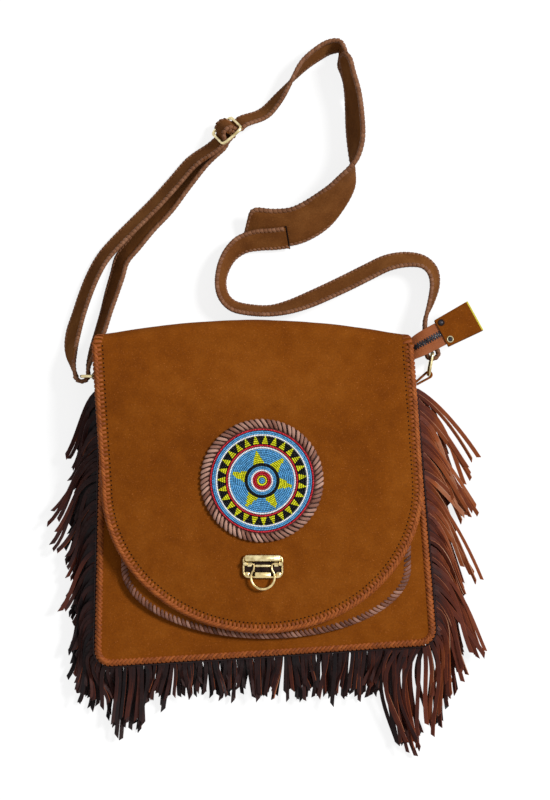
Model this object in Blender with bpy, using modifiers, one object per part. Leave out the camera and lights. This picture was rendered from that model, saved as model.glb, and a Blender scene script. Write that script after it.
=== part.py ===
# Fringed suede shoulder bag with a beaded medallion, lying on its back.
# Metres, +Z up. The origin is the middle of the back panel's outer face, where the bag rests.
# +Y points to the mouth of the bag, and the front faces +Z.

import math

import bmesh
import bpy
from mathutils import Matrix, Vector

GAP = 0.0003
UP = Vector((0.0, 0.0, 1.0))

# Leather
SUEDE_THICKNESS = 0.0022
BACK_THICKNESS = 0.0024
LACE_RADIUS = 0.0018
POCKET_LACE_RADIUS = 0.0014

# Bag body: a flat back, a crowned front, and a gusset round three sides
BODY_TOP_WIDTH = 0.280
BODY_BOTTOM_WIDTH = 0.307
BODY_TOP_SHIFT = -0.007
BODY_BOTTOM_SHIFT = 0.0005
BODY_TOP = 0.112
BODY_BOTTOM = -0.147
BOTTOM_SLANT = 0.010
BODY_CORNER = 0.014
SEAM_HEIGHT = 0.034
FRONT_CROWN = 0.007
GUSSET_BULGE = 0.0015
BACK_TOP = 0.130

# Front pocket
POCKET_HALF_WIDTH = 0.1295
POCKET_CENTRE = 0.001
POCKET_TOP = 0.060
POCKET_ROUND_START = -0.068
POCKET_ROUND = 0.063
POCKET_DEPTH = 0.0025
POCKET_CROWN = 0.003

# Flap and the fold that carries it over the mouth
FLAP_HALF_WIDTH = 0.144
FLAP_LENGTH = 0.259
FLAP_ROUND = 0.131
FLAP_CENTRE = -0.0025
FLAP_LEAN = -0.068
FLAP_THICKNESS = 0.0024
HINGE_Y = 0.133
HINGE_HEIGHT = 0.047
HINGE_NOSE = 0.0014
FLAP_EDGE_HEIGHT = 0.0515
FLAP_CROWN = 0.0080
FLAP_RAMP = 0.055
FOLD_DROP = 0.0023
FOLD_REACH = 0.008
FOLD_BULGE = 0.014
FOLD_CORNER = 0.010
FOLD_HALF_WIDTH = 0.131

# Edge lacing on the flap
STITCH_PITCH = 0.0090
STITCH_HEIGHT = 0.0019
STITCH_LENGTH = 0.0078
STITCH_SLANT = 0.0022
STITCH_INSET = 0.0006
STITCH_END = 0.008

# Beaded medallion: the outer radius of each ring of beads, from the middle out
MEDALLION_X = -0.0027
MEDALLION_Y = 0.0108
MEDALLION_RADIUS = 0.055
MEDALLION_BASE = 0.0015
BEAD_HEIGHT = 0.0016
BEAD_RINGS = (
    ("blue", 0.0027),
    ("yellow", 0.0050),
    ("red", 0.0084),
    ("white", 0.0101),
    ("blue", 0.0130),
    ("black", 0.0156),
    ("blue_star", 0.0287),
    ("white", 0.0304),
    ("red", 0.0328),
    ("black_teeth", 0.0400),
    ("white", 0.0417),
    ("blue", 0.0448),
    ("red", 0.0470),
)
BEAD_UNDERLAY = 0.0008
BEAD_ARC = 0.0045
STAR_ANGLES = (-10, 46, 101, 167, 239, 297)
STAR_BASE = 0.0100
STAR_TIP = 0.0020
STAR_REACH = 0.0270
TEETH = 27
TOOTH_BASE = 0.0050
TOOTH_TIP = 0.0012
TOOTH_MARGIN = 0.0012
MEDALLION_STITCHES = 33
MEDALLION_STITCH_TOP = 0.0026
MEDALLION_STITCH_DIP = 0.0011
MEDALLION_STITCH_LEAN = 0.9

# Tuck clasp
CLASP_X = -0.0018
CLASP_Y = -0.0660
CLASP_WIDTH = 0.0367
CLASP_DEPTH = 0.0213
CLASP_PLATE = 0.0018
CLASP_BAR_DEPTH = 0.0070
CLASP_BAR_HEIGHT = 0.0048
CLASP_CORNER = 0.0055
CLASP_BAR_INSET = 0.0025
CLASP_EAR = 0.0032
CLASP_EAR_INSET = 0.0012
CLASP_EAR_REACH = 0.0065
CLASP_EAR_RISE = 0.0005
CLASP_HOLE = 0.0042
CLASP_POST = 0.0030
CLASP_BACK = (0.030, 0.017)
CLASP_BACK_CORNER = 0.003
CATCH = (0.022, 0.012)
CATCH_PLATE = 0.0008
SOCKET_DEPTH = 0.0011
SOCKET_PLACE = 0.0008
BAIL_WIRE = 0.0012
BAIL_PIVOT = 0.0022
BAIL_LIFT = 0.0036
BAIL_RADIUS = 0.0106
BAIL_NECK = 0.0078
BAIL_DROP = 0.0120
BAIL_FOOT = 0.0010
BAIL_SHOULDER = 0.0012
BAIL_OPENING = 38

# Straps
STRAP_WIDTH = 0.024
STRAP_THICKNESS = 0.0026
STRAP_EDGE = 0.0042
PAD_WIDTH = 0.040
PAD_THICKNESS = 0.0034
PAD_EDGE = 0.0050
PAD_RIM = 0.0045
PAD_LAP_OFFSET = 0.0037
PAD_LAP_SHIFT = 0.005
STRAP_RIM = 0.0030
STRAP_LIFT = 0.0004
SHORT_LAP_STATIONS = 4

# Adjuster on the long strap
SLIDER_X = -0.0345
SLIDER_Y = 0.3270
SLIDER_HEIGHT = 0.0185
SLIDER_ANGLE = math.radians(41)
SLIDER_TILT = math.radians(60)
SLIDER_ACROSS = 0.034
SLIDER_ALONG = 0.025
SLIDER_WIRE = 0.0014
SLIDER_CORNER = 0.004
SLIDER_SLACK = 0.0004

# Rings and their tabs. A ring's outer bar is placed from the body's upper corner on its side.
RING_WIRE = 0.0014
RING_ACROSS = 0.0285
RING_HEIGHT = 0.0175
RING_CORNER = 0.0035
RING_LEFT_OFFSET = (-0.0190, -0.0075)
RING_LEFT_REACH = 0.0125
RING_LEFT_TURN = math.radians(180)
RING_RIGHT_OFFSET = (0.0185, 0.0135)
RING_RIGHT_REACH = 0.0200
RING_RIGHT_TURN = math.radians(80)
RING_PLAY = 0.0024
TURN_RADIUS = 0.0058
TURN_SHIFT = 0.0012
TURN_LIFT = 0.0053
TAB_WIDTH = 0.020
TAB_THICKNESS = 0.0018
TAB_PLAY = 0.0001
TAB_LOOP_TURN = (90, 50, 15, -15, -50, -90)
TAB_LEFT_TURN = math.radians(180)
TAB_LEFT_TAIL = 0.0043
TAB_RIGHT_TURN = math.radians(35)
TAB_RIGHT_TAIL = 0.0135

# Zip across the mouth, with its tail and end tab
ZIP_Y = 0.1100
ZIP_HEIGHT = 0.0180
TEETH_WIDTH = 0.0022
TEETH_THICKNESS = 0.0016
TEETH_SLIT = 0.0012
ZIP_START = 0.0090
FACING_WIDTH = 0.0076
FACING_MOUTH_WIDTH = 0.0122
FACING_THICKNESS = 0.0016
TAPER_END = 0.0150
TAPER_LENGTH = 0.030
ZIP_SLIDER_START = 0.0190
ZIP_SLIDER_LENGTH = 0.0095
ZIP_SLIDER_WIDTH = 0.0080
ZIP_SLIDER_PLATE = 0.0012
ZIP_NECK_LENGTH = 0.0030
BRIDGE_LENGTH = 0.0064
BRIDGE_WIDTH = 0.0012
BRIDGE_PLATE = 0.0009
BRIDGE_POST = 0.0010
PULL_LENGTH = 0.0165
PULL_WIDTH = 0.0060
PULL_CORNER = 0.0026
PULL_THICKNESS = 0.0010
PULL_EYE = (0.0036, 0.0034)
PULL_EYE_CORNER = 0.0010
PULL_EYE_PLACE = 0.0024
PULL_BAR = 0.0006
PULL_ROOM = 0.0018
END_TAB_LENGTH = 0.035
END_TAB_WIDTH = 0.028
END_TAB_THICKNESS = 0.0062
END_TAB_OVERLAP = 0.010
RIVET_RADIUS = 0.0022
RIVET_SHAFT = 0.0011
RIVET_CROWN = 0.0012
RIVET_IN = 0.0042
RIVET_SPREAD = 0.0086

# Fringe
STRIP_PITCH = 0.0128
STRIP_WIDTH = 0.0095
STRIP_TIP = 0.0030
STRIP_THICKNESS = 0.0012
FRINGE_STAND_OFF = 0.0018
FRINGE_BAND = (0.0010, 0.0070)
FRINGE_BULGE = 0.006
FRINGE_TOP = 0.090
SIDE_FRINGE = 0.082
BOTTOM_FRINGE = 0.052
CORNER_FRINGE = 0.086
# A share of the strip's length, its height there, and how far it has narrowed from its width to its tip
FRINGE_FALL = ((0.30, 0.0110, 0.1), (1.0, 0.0050, 1.0))
# Where along the seam from top left to top right, the way the strips fall in degrees, and their length
FRINGE_TURNS = (
    (0.0, 251, SIDE_FRINGE), (0.12, 248, SIDE_FRINGE), (0.28, 244, SIDE_FRINGE),
    (0.345, 251, BOTTOM_FRINGE), (0.38, 263, BOTTOM_FRINGE), (0.50, 270, BOTTOM_FRINGE),
    (0.60, 272, BOTTOM_FRINGE), (0.64, 276, CORNER_FRINGE), (0.68, 284, CORNER_FRINGE),
    (0.72, 296, SIDE_FRINGE), (0.88, 302, SIDE_FRINGE), (1.0, 303, SIDE_FRINGE),
)

COLOURS = {
    "suede": ((0.205, 0.056, 0.0065), 0.90, 0.0),
    "orange_lace": ((0.270, 0.075, 0.015), 0.55, 0.0),
    "mauve_lace": ((0.225, 0.100, 0.066), 0.55, 0.0),
    "fringe_leather": ((0.115, 0.032, 0.020), 0.50, 0.0),
    "strap_leather": ((0.165, 0.066, 0.020), 0.85, 0.0),
    "facing_leather": ((0.310, 0.092, 0.036), 0.55, 0.0),
    "brass": ((0.70, 0.56, 0.30), 0.28, 1.0),
    "black_metal": ((0.050, 0.045, 0.050), 0.40, 1.0),
    "beads_blue": ((0.105, 0.300, 0.640), 0.20, 0.0),
    "beads_red": ((0.500, 0.020, 0.040), 0.20, 0.0),
    "beads_white": ((0.720, 0.760, 0.820), 0.20, 0.0),
    "beads_yellow": ((0.620, 0.600, 0.030), 0.20, 0.0),
    "beads_black": ((0.008, 0.008, 0.011), 0.20, 0.0),
}


# Scene and object helpers

def start_scene():
    for obj in list(bpy.data.objects):
        bpy.data.objects.remove(obj, do_unlink=True)
    parts = bpy.data.collections.new("fringed_shoulder_bag")
    cutters = bpy.data.collections.new("cutters")
    bpy.context.scene.collection.children.link(parts)
    bpy.context.scene.collection.children.link(cutters)
    return parts, cutters


def material(name):
    found = bpy.data.materials.get(name)
    if found:
        return found
    colour, roughness, metallic = COLOURS[name]
    made = bpy.data.materials.new(name)
    made.use_nodes = True
    shader = made.node_tree.nodes["Principled BSDF"]
    shader.inputs["Base Color"].default_value = (*colour, 1.0)
    shader.inputs["Roughness"].default_value = roughness
    shader.inputs["Metallic"].default_value = metallic
    return made


def add_object(name, data, look):
    obj = bpy.data.objects.new(name, data)
    PARTS.objects.link(obj)
    if obj.data.materials:
        obj.data.materials[0] = material(look)
    else:
        obj.data.materials.append(material(look))
    return obj


def add_mesh(name, bm, look):
    bmesh.ops.recalc_face_normals(bm, faces=bm.faces)
    data = bpy.data.meshes.new(name)
    bm.to_mesh(data)
    bm.free()
    return add_object(name, data, look)


def as_mesh(obj):
    """The object again as a welded mesh, modifiers included, so that it can be cut or joined."""
    graph = bpy.context.evaluated_depsgraph_get()
    data = bpy.data.meshes.new_from_object(obj.evaluated_get(graph))
    bm = bmesh.new()
    bm.from_mesh(data)
    bmesh.ops.remove_doubles(bm, verts=bm.verts, dist=0.00001)
    bm.to_mesh(data)
    bm.free()
    name, place, look = obj.name, obj.matrix_world.copy(), obj.data.materials[0].name
    bpy.data.objects.remove(obj, do_unlink=True)
    made = add_object(name, data, look)
    made.matrix_world = place
    return made


def boolean(obj, other, operation):
    step = obj.modifiers.new(operation.lower(), "BOOLEAN")
    step.operation = operation
    step.object = other
    CUTTERS.objects.link(other)
    PARTS.objects.unlink(other)
    other.hide_render = True
    other.display_type = "WIRE"


def tube(name, points, radius, look, cyclic=False, resolution=2):
    curve = bpy.data.curves.new(name, "CURVE")
    curve.dimensions = "3D"
    curve.bevel_depth = radius
    curve.bevel_resolution = resolution
    curve.use_fill_caps = True
    spline = curve.splines.new("POLY")
    spline.points.add(len(points) - 1)
    for point, place in zip(spline.points, points):
        point.co = (*place, 1.0)
    spline.use_cyclic_u = cyclic
    return add_object(name, curve, look)


def flat_outline(name, loops, thickness, look):
    """A flat piece from closed outlines: the first is the edge, and the others inside it are holes."""
    curve = bpy.data.curves.new(name, "CURVE")
    curve.dimensions = "2D"
    curve.fill_mode = "BOTH"
    curve.extrude = thickness / 2
    for loop in loops:
        spline = curve.splines.new("POLY")
        spline.points.add(len(loop) - 1)
        for point, place in zip(spline.points, loop):
            point.co = (place[0], place[1], 0.0, 1.0)
        spline.use_cyclic_u = True
    return add_object(name, curve, look)


def box(name, size, look):
    bm = bmesh.new()
    bmesh.ops.create_cube(bm, size=1.0, matrix=Matrix.Diagonal((*size, 1.0)))
    return add_mesh(name, bm, look)


def cylinder(name, radius, length, look, segments=16):
    bm = bmesh.new()
    bmesh.ops.create_cone(
        bm, cap_ends=True, segments=segments, radius1=radius, radius2=radius, depth=length
    )
    return add_mesh(name, bm, look)


def turned_piece(name, profile, look, steps=8):
    """A profile of radius, height points turned about its own Z."""
    data = bpy.data.meshes.new(name)
    data.from_pydata([(r, 0.0, z) for r, z in profile], [(i, i + 1) for i in range(len(profile) - 1)], [])
    obj = add_object(name, data, look)
    turn = obj.modifiers.new("turn", "SCREW")
    turn.steps = steps
    turn.render_steps = steps
    turn.use_merge_vertices = True
    turn.merge_threshold = 0.00001
    turn.use_normal_calculate = True
    turn.use_normal_flip = True
    return obj


def hang_on_axis(name, place, members):
    """An empty on a joint's axis, with the pieces that turn about it as its children."""
    axis = bpy.data.objects.new(name, None)
    axis.location = place
    PARTS.objects.link(axis)
    for member in members:
        piece = PARTS.objects[member]
        piece.parent = axis
        piece.matrix_parent_inverse = Matrix.Translation(-Vector(place))


def open_mesh(name, grid, look):
    """An open surface through rows of points, with its faces in the order of the rows."""
    bm = bmesh.new()
    rows = [[bm.verts.new(p) for p in row] for row in grid]
    for one, two in zip(rows, rows[1:]):
        for i in range(len(one) - 1):
            bm.faces.new((one[i], one[i + 1], two[i + 1], two[i]))
    data = bpy.data.meshes.new(name)
    bm.to_mesh(data)
    bm.free()
    return add_object(name, data, look)


def thicken(obj, thickness, offset):
    shell = obj.modifiers.new("thickness", "SOLIDIFY")
    shell.thickness = thickness
    shell.offset = offset


# Paths

def tangents(points, cyclic=False):
    count = len(points)
    found = []
    for i in range(count):
        before = points[(i - 1) % count] if cyclic else points[max(i - 1, 0)]
        after = points[(i + 1) % count] if cyclic else points[min(i + 1, count - 1)]
        found.append((Vector(after) - Vector(before)).normalized())
    return found


def evenly(points, pitch):
    """Places and directions along a line of points, a pitch apart, starting half a pitch in."""
    points = [Vector(p) for p in points]
    lengths = [(b - a).length for a, b in zip(points, points[1:])]
    total = sum(lengths)
    count = max(1, int(total / pitch))
    found = []
    for k in range(count):
        left = (k + 0.5) * total / count
        for a, b, length in zip(points, points[1:], lengths):
            if left <= length:
                break
            left -= length
        found.append((a.lerp(b, left / length), (b - a).normalized()))
    return found


def sweep(name, stations, profile, look):
    """A strip that turns as it goes. A station is its place and the direction of its width.

    A profile point is its distance across and through. A list of profiles holds one for every station.
    """
    bm = bmesh.new()
    places = [Vector(place) for place, _ in stations]
    profiles = profile if isinstance(profile, list) else [profile] * len(stations)
    rings = []
    for place, ahead, (_, across), points in zip(places, tangents(places), stations, profiles):
        across = (across - ahead * across.dot(ahead)).normalized()
        through = across.cross(ahead)
        rings.append([bm.verts.new(place + across * a + through * b) for a, b in points])
    for one, two in zip(rings, rings[1:]):
        for i in range(len(one)):
            j = (i + 1) % len(one)
            bm.faces.new((one[i], one[j], two[j], two[i]))
    bm.faces.new(rings[0])
    bm.faces.new(reversed(rings[-1]))
    return add_mesh(name, bm, look)


def strap_profile(width, edge):
    """A strap's section: thickest along its two laced edges."""
    half, inner = width / 2, width / 2 - STRAP_RIM
    return (
        (half, 0.0), (inner, edge / 2), (-inner, edge / 2),
        (-half, 0.0), (-inner, -edge / 2), (inner, -edge / 2),
    )


def band_profile(width, thickness, edge, rim):
    """The pad's section: a flat middle with a thicker laced rim on both edges."""
    half, inner = width / 2, width / 2 - rim
    return (
        (half, -edge * 0.25), (half, edge * 0.25), (inner, thickness / 2), (-inner, thickness / 2),
        (-half, edge * 0.25), (-half, -edge * 0.25), (-inner, -thickness / 2), (inner, -thickness / 2),
    )


def flat_profile(width, thickness, shift=0.0):
    half = width / 2
    return (
        (shift + half, -thickness / 2), (shift + half, thickness / 2),
        (shift - half, thickness / 2), (shift - half, -thickness / 2),
    )


def leaning(route, width):
    """Stations of a strip that lies on its lower edge.

    A route point is x, y, the lean of its width from level, and how far it is lifted.
    """
    route = [(*point, 0.0)[:4] for point in route]
    flat = [Vector((x, y, 0.0)) for x, y, _, _ in route]
    stations = []
    for (x, y, lean, raised), ahead in zip(route, tangents(flat)):
        across = ahead.cross(UP) * math.cos(lean) + UP * math.sin(lean)
        height = abs(math.sin(lean)) * width / 2 + abs(math.cos(lean)) * STRAP_EDGE / 2
        stations.append((Vector((x, y, height + STRAP_LIFT + raised)), across))
    return stations


# The bag's shape

def lerp(a, b, t):
    return a + (b - a) * t


def body_middle(t):
    return lerp(BODY_TOP_SHIFT, BODY_BOTTOM_SHIFT, t)


def body_half_width(t):
    return lerp(BODY_TOP_WIDTH, BODY_BOTTOM_WIDTH, t) / 2


def body_bottom(u):
    """The slanting lower edge: the left corner lies lower than the right."""
    return BODY_BOTTOM + BOTTOM_SLANT * u


def body_point(u, t):
    x = body_middle(t) + u * body_half_width(t)
    return Vector((x, lerp(BODY_TOP, body_bottom(u), t), 0.0))


def body_corner(side):
    """The body's upper corner: side is -1 on the left and 1 on the right."""
    return body_point(side, 0.0)


def body_length():
    return BODY_TOP - BODY_BOTTOM


def body_edge():
    """The line round the left side, the bottom and the right side, seen from the front."""
    steps, corner_steps = 5, 3
    turn = [math.pi / 2 * k / corner_steps for k in range(corner_steps + 1)]
    straight = 1 - BODY_CORNER / body_length()
    side = [(-1.0, straight * k / steps) for k in range(steps)]
    for angle in turn:
        drop = BODY_CORNER * (1 - math.sin(angle))
        cut = BODY_CORNER * (1 - math.cos(angle))
        side.append((-(1 - cut / body_half_width(1.0)), 1 - drop / body_length()))
    reach = -side[-1][0]
    bottom = [(reach * (2 * k / steps - 1), 1.0) for k in range(1, steps)]
    return [body_point(u, t) for u, t in side + bottom + [(-u, t) for u, t in reversed(side)]]


def outward(points, distance):
    """The line moved away from the bag's middle."""
    return [p + Vector((d.y, -d.x, 0.0)) * distance for p, d in zip(points, tangents(points))]


def front_height(x, y):
    """The inner face of the front panel."""
    t = (BODY_TOP - y) / body_length()
    u = (x - body_middle(t)) / body_half_width(t)
    t = (BODY_TOP - y) / (BODY_TOP - body_bottom(u))
    ends = max(0.0, 1 - abs(2 * t - 1) ** 4)
    sides = max(0.0, 1 - abs(u) ** 4)
    return SEAM_HEIGHT + FRONT_CROWN * ends * sides


def pocket_share(x, y):
    """0 in the middle of the pocket, 1 on its sewn edge."""
    below = max(0.0, POCKET_ROUND_START - y) / POCKET_ROUND
    return math.hypot((x - POCKET_CENTRE) / POCKET_HALF_WIDTH, below)


def pocket_floor(x, y):
    """The front panel's outer face, with the gap that the pocket keeps to it."""
    return front_height(x, y) + SUEDE_THICKNESS + GAP


def pocket_height(x, y):
    crown = POCKET_CROWN * max(0.0, 1 - pocket_share(x, y) ** 4)
    return pocket_floor(x, y) + POCKET_DEPTH + GAP + crown


def flap_round_start():
    return HINGE_Y - FLAP_LENGTH + FLAP_ROUND


def flap_middle(y):
    return FLAP_CENTRE + FLAP_LEAN * max(0.0, y - flap_round_start())


def flap_share(x, y):
    """0 in the middle of the flap, 1 on its laced edge."""
    below = max(0.0, flap_round_start() - y) / FLAP_ROUND
    return math.hypot((x - flap_middle(y)) / FLAP_HALF_WIDTH, below)


def flap_height(x, y):
    """The flap's inner face: level at the hinge, then lifted over the pocket."""
    t = min(1.0, max(0.0, (HINGE_Y - y) / FLAP_RAMP))
    ramp = t * t * (3 - 2 * t)
    crown = FLAP_CROWN * max(0.0, 1 - flap_share(x, y) ** 3)
    return HINGE_HEIGHT + (FLAP_EDGE_HEIGHT - HINGE_HEIGHT + crown) * ramp


def flap_top(x, y):
    return flap_height(x, y) + FLAP_THICKNESS


def rounded_sheet_rows(half_width, middle, top, round_start, reach, straight_rows, round_rows, columns):
    """Rows of x, y over a sheet with straight sides and a half-oval end."""
    rows = []
    for k in range(straight_rows):
        y = lerp(top, round_start, k / straight_rows)
        rows.append([(middle(y) + half_width * (2 * i / columns - 1), y) for i in range(columns + 1)])
    last = math.radians(78)
    for k in range(round_rows + 1):
        angle = last * k / round_rows
        width = half_width * math.cos(angle)
        row = []
        for i in range(columns + 1):
            share = 2 * i / columns - 1
            x = width * share
            on_edge = reach * math.sqrt(1 - (x / half_width) ** 2)
            depth = lerp(reach * math.sin(angle), on_edge, (k / round_rows) ** 3)
            y = round_start - depth
            row.append((middle(y) + x, y))
        rows.append(row)
    return rows


def rounded_edge_line(half_width, middle, top, round_start, reach, inset, steps):
    """The line along a rounded sheet's two sides and end, moved in from its edge."""
    width, depth = half_width - inset, reach - inset
    side = [(-width, lerp(top, round_start, k / steps)) for k in range(steps)]
    arc = [
        (-width * math.cos(a), round_start - depth * math.sin(a))
        for a in (math.pi * k / (3 * steps) for k in range(3 * steps + 1))
    ]
    line = side + arc + [(-x, y) for x, y in reversed(side)]
    return [Vector((middle(y) + x, y, 0.0)) for x, y in line]


def sheet(name, rows, height, thickness, look):
    """An open surface over rows of x, y, thickened upwards."""
    obj = open_mesh(name, [[(x, y, height(x, y)) for x, y in row] for row in rows], look)
    if obj.data.polygons[0].normal.z < 0:
        obj.data.flip_normals()
    thicken(obj, thickness, 1.0)
    return obj


def wall(name, line, heights, thickness, look):
    """An upright open wall along a line, each height with how far out it stands, thickened inwards."""
    grid = [[(p.x, p.y, height) for p in outward(line, out)] for height, out in heights]
    thicken(open_mesh(name, grid, look), thickness, -1.0)


# Body panels

def body_rows(columns):
    """Rows of x, y over the front panel, closer together round the lower corners."""
    length = body_length()
    drops = [length * k / 9 for k in range(9, 1, -1)]
    for k in range(5):
        drops.append(BODY_CORNER * (1 - math.sin(math.pi / 8 * k)))
    rows = []
    for drop in drops:
        inside = min(1.0, drop / BODY_CORNER)
        cut = BODY_CORNER * (1 - math.sqrt(1 - (1 - inside) ** 2))
        t = 1 - drop / length
        reach = 1 - cut / body_half_width(t)
        points = [body_point(reach * (2 * i / columns - 1), t) for i in range(columns + 1)]
        rows.append([(p.x, p.y) for p in points])
    return rows


def make_body():
    sheet("front_panel", body_rows(6), front_height, SUEDE_THICKNESS, "suede")
    edge = body_edge()
    top_left, top_right = edge[0], edge[-1]
    back_line = [(top_left.x, BACK_TOP), *[(p.x, p.y) for p in edge], (top_right.x, BACK_TOP)]
    back = flat_outline("back_panel", [back_line], BACK_THICKNESS, "suede")
    back.location.z = BACK_THICKNESS / 2
    low, high = BACK_THICKNESS + GAP, SEAM_HEIGHT - GAP
    heights = [(lerp(low, high, t), GUSSET_BULGE * 4 * t * (1 - t)) for t in (0, 0.5, 1)]
    wall("gusset", edge, heights, SUEDE_THICKNESS, "suede")
    rope = outward(edge, -LACE_RADIUS)
    front_rope = [Vector((p.x, p.y, SEAM_HEIGHT + SUEDE_THICKNESS + LACE_RADIUS + 2 * GAP)) for p in rope]
    tube("front_lacing", front_rope, LACE_RADIUS, "orange_lace", resolution=0)
    low_rope = outward(edge, LACE_RADIUS + GAP)
    back_rope = [Vector((p.x, p.y, LACE_RADIUS + GAP)) for p in low_rope]
    tube("back_lacing", back_rope, LACE_RADIUS, "orange_lace", resolution=0)


def pocket_middle(_):
    return POCKET_CENTRE


def make_pocket():
    shape = (POCKET_HALF_WIDTH, pocket_middle, POCKET_TOP, POCKET_ROUND_START, POCKET_ROUND)
    rows = rounded_sheet_rows(*shape, 3, 6, 6)
    sheet("pocket_panel", rows, pocket_height, SUEDE_THICKNESS, "suede")
    line = rounded_edge_line(*shape, 0.0, 6)
    low = [(p.x, p.y, pocket_floor(p.x, p.y)) for p in line]
    high = [(p.x, p.y, pocket_height(p.x, p.y) - GAP) for p in line]
    thicken(open_mesh("pocket_gusset", [low, high], "suede"), SUEDE_THICKNESS, -1.0)
    rope = []
    for p in rounded_edge_line(*shape, POCKET_LACE_RADIUS, 6):
        height = pocket_height(p.x, p.y) + SUEDE_THICKNESS + POCKET_LACE_RADIUS + 2 * GAP
        rope.append(Vector((p.x, p.y, height)))
    tube("pocket_lacing", rope, POCKET_LACE_RADIUS, "mauve_lace", resolution=0)


# Flap, its fold and its lacing

def hinge_place():
    return flap_middle(HINGE_Y), HINGE_Y, HINGE_HEIGHT + FLAP_THICKNESS / 2


def make_flap():
    shape = (FLAP_HALF_WIDTH, flap_middle, HINGE_Y, flap_round_start(), FLAP_ROUND)
    flap = sheet("flap", rounded_sheet_rows(*shape, 6, 6, 8), flap_height, FLAP_THICKNESS, "suede")
    flap = as_mesh(flap)
    nose = cylinder("flap_nose", HINGE_NOSE, 2 * FLAP_HALF_WIDTH, "suede", 10)
    nose.rotation_euler = (0, math.pi / 2, 0)
    nose.location = hinge_place()
    boolean(flap, nose, "UNION")
    hole = cylinder("clasp_hole", CLASP_HOLE, 0.03, "suede", 12)
    hole.location = (CLASP_X, CLASP_Y, flap_height(CLASP_X, CLASP_Y))
    boolean(flap, hole, "DIFFERENCE")


def fold_reach(x):
    """How far the fold stands out past the hinge: most in the middle."""
    share = (x - flap_middle(HINGE_Y)) / FOLD_HALF_WIDTH
    return HINGE_Y + FOLD_REACH + FOLD_BULGE * max(0.0, 1 - share * share)


def make_fold():
    """The flap leather between the hinge and the back panel, round the outside of the mouth.

    It starts lower than the flap, so that the flap can turn back over it.
    """
    columns, corner_steps = 6, 2
    turns = [math.pi / 2 * k / corner_steps for k in range(corner_steps + 1)]
    grid = []
    start, top = HINGE_Y + HINGE_NOSE, HINGE_HEIGHT + FLAP_THICKNESS - FOLD_DROP
    for i in range(columns + 1):
        x = flap_middle(HINGE_Y) + FOLD_HALF_WIDTH * (2 * i / columns - 1)
        end = fold_reach(x)
        corner = min(FOLD_CORNER, end - start - 2 * GAP)
        line = [(start, top)]
        line += [(end - corner * (1 - math.sin(a)), top - corner * (1 - math.cos(a))) for a in turns]
        line += [(end - corner * (1 - math.cos(a)), corner * (1 - math.sin(a))) for a in turns]
        line.append((BACK_TOP + GAP, 0.0))
        grid.append([(x, y, z) for y, z in line])
    thicken(open_mesh("flap_fold", grid, "suede"), SUEDE_THICKNESS, 1.0)


def ridged_band(name, edges, floor, high, low, look, cyclic=False):
    """Whip lacing as one band: a ridge for every wrap.

    An edge pair is a point on the rim and one further in, and floor gives the height that the band lies on.
    """
    bm = bmesh.new()
    stations = []
    for k, (rim, inner) in enumerate(edges):
        height = high if k % 2 else low
        crest = rim.lerp(inner, 0.45)
        rises = ((rim, 0.0), (crest, height), (inner, 0.0))
        stations.append([bm.verts.new((p.x, p.y, floor(p) + rise)) for p, rise in rises])
    pairs = list(zip(stations, stations[1:]))
    if cyclic:
        pairs.append((stations[-1], stations[0]))
    else:
        bm.faces.new(stations[0])
        bm.faces.new(reversed(stations[-1]))
    for one, two in pairs:
        for i in range(3):
            j = (i + 1) % 3
            bm.faces.new((one[j], one[i], two[i], two[j]))
    return add_mesh(name, bm, look)


def make_flap_lacing():
    shape = (FLAP_HALF_WIDTH, flap_middle, HINGE_Y, flap_round_start(), FLAP_ROUND)
    line = rounded_edge_line(*shape, STITCH_INSET, 10)
    edges = []
    for place, ahead in evenly(line, STITCH_PITCH / 2):
        inward = Vector((-ahead.y, ahead.x, 0.0))
        rim = place + ahead * STITCH_SLANT / 2
        inner = place + inward * STITCH_LENGTH - ahead * STITCH_SLANT / 2
        if max(rim.y, inner.y) < HINGE_Y - STITCH_END:
            edges.append((rim, inner))
    ridged_band("flap_lacing", edges, flap_lacing_floor, STITCH_HEIGHT, STITCH_HEIGHT * 0.3, "orange_lace")


def flap_lacing_floor(place):
    return flap_top(place.x, place.y) + 3 * GAP


# Medallion

def medallion_floor():
    return flap_top(MEDALLION_X, MEDALLION_Y) + GAP


def circle(radius, count):
    return [
        (radius * math.cos(2 * math.pi * k / count), radius * math.sin(2 * math.pi * k / count))
        for k in range(count)
    ]


def turned(point, angle):
    x, y = point
    return x * math.cos(angle) - y * math.sin(angle), x * math.sin(angle) + y * math.cos(angle)


def circle_count(radius):
    """Fewer sides on a small ring."""
    return 9 + int(radius / 0.0032)


def star_points():
    """The star's points, each a truncated triangle standing on the black ring."""
    shape = pointed(ring_radius("black") + GAP, STAR_REACH, STAR_BASE, STAR_TIP)
    return [[turned(p, math.radians(angle)) for p in shape] for angle in STAR_ANGLES]


def tooth_points():
    inner, outer = ring_before("black_teeth") + 2 * GAP, ring_radius("black_teeth") - TOOTH_MARGIN
    shape = pointed(inner, outer, TOOTH_BASE, TOOTH_TIP)
    return [[turned(p, 2 * math.pi * k / TEETH) for p in shape] for k in range(TEETH)]


def pointed(inner, outer, base, tip):
    """A triangle with its point cut off, along X from the inner to the outer radius."""
    return [(inner, -base / 2), (inner, base / 2), (outer, tip / 2), (outer, -tip / 2)]


def ring_radius(name):
    return next(radius for ring, radius in BEAD_RINGS if ring == name)


def ring_before(name):
    """The inner radius of the ring with this name."""
    radii = [0.0, *[radius for _, radius in BEAD_RINGS]]
    return radii[[ring for ring, _ in BEAD_RINGS].index(name)]


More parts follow.
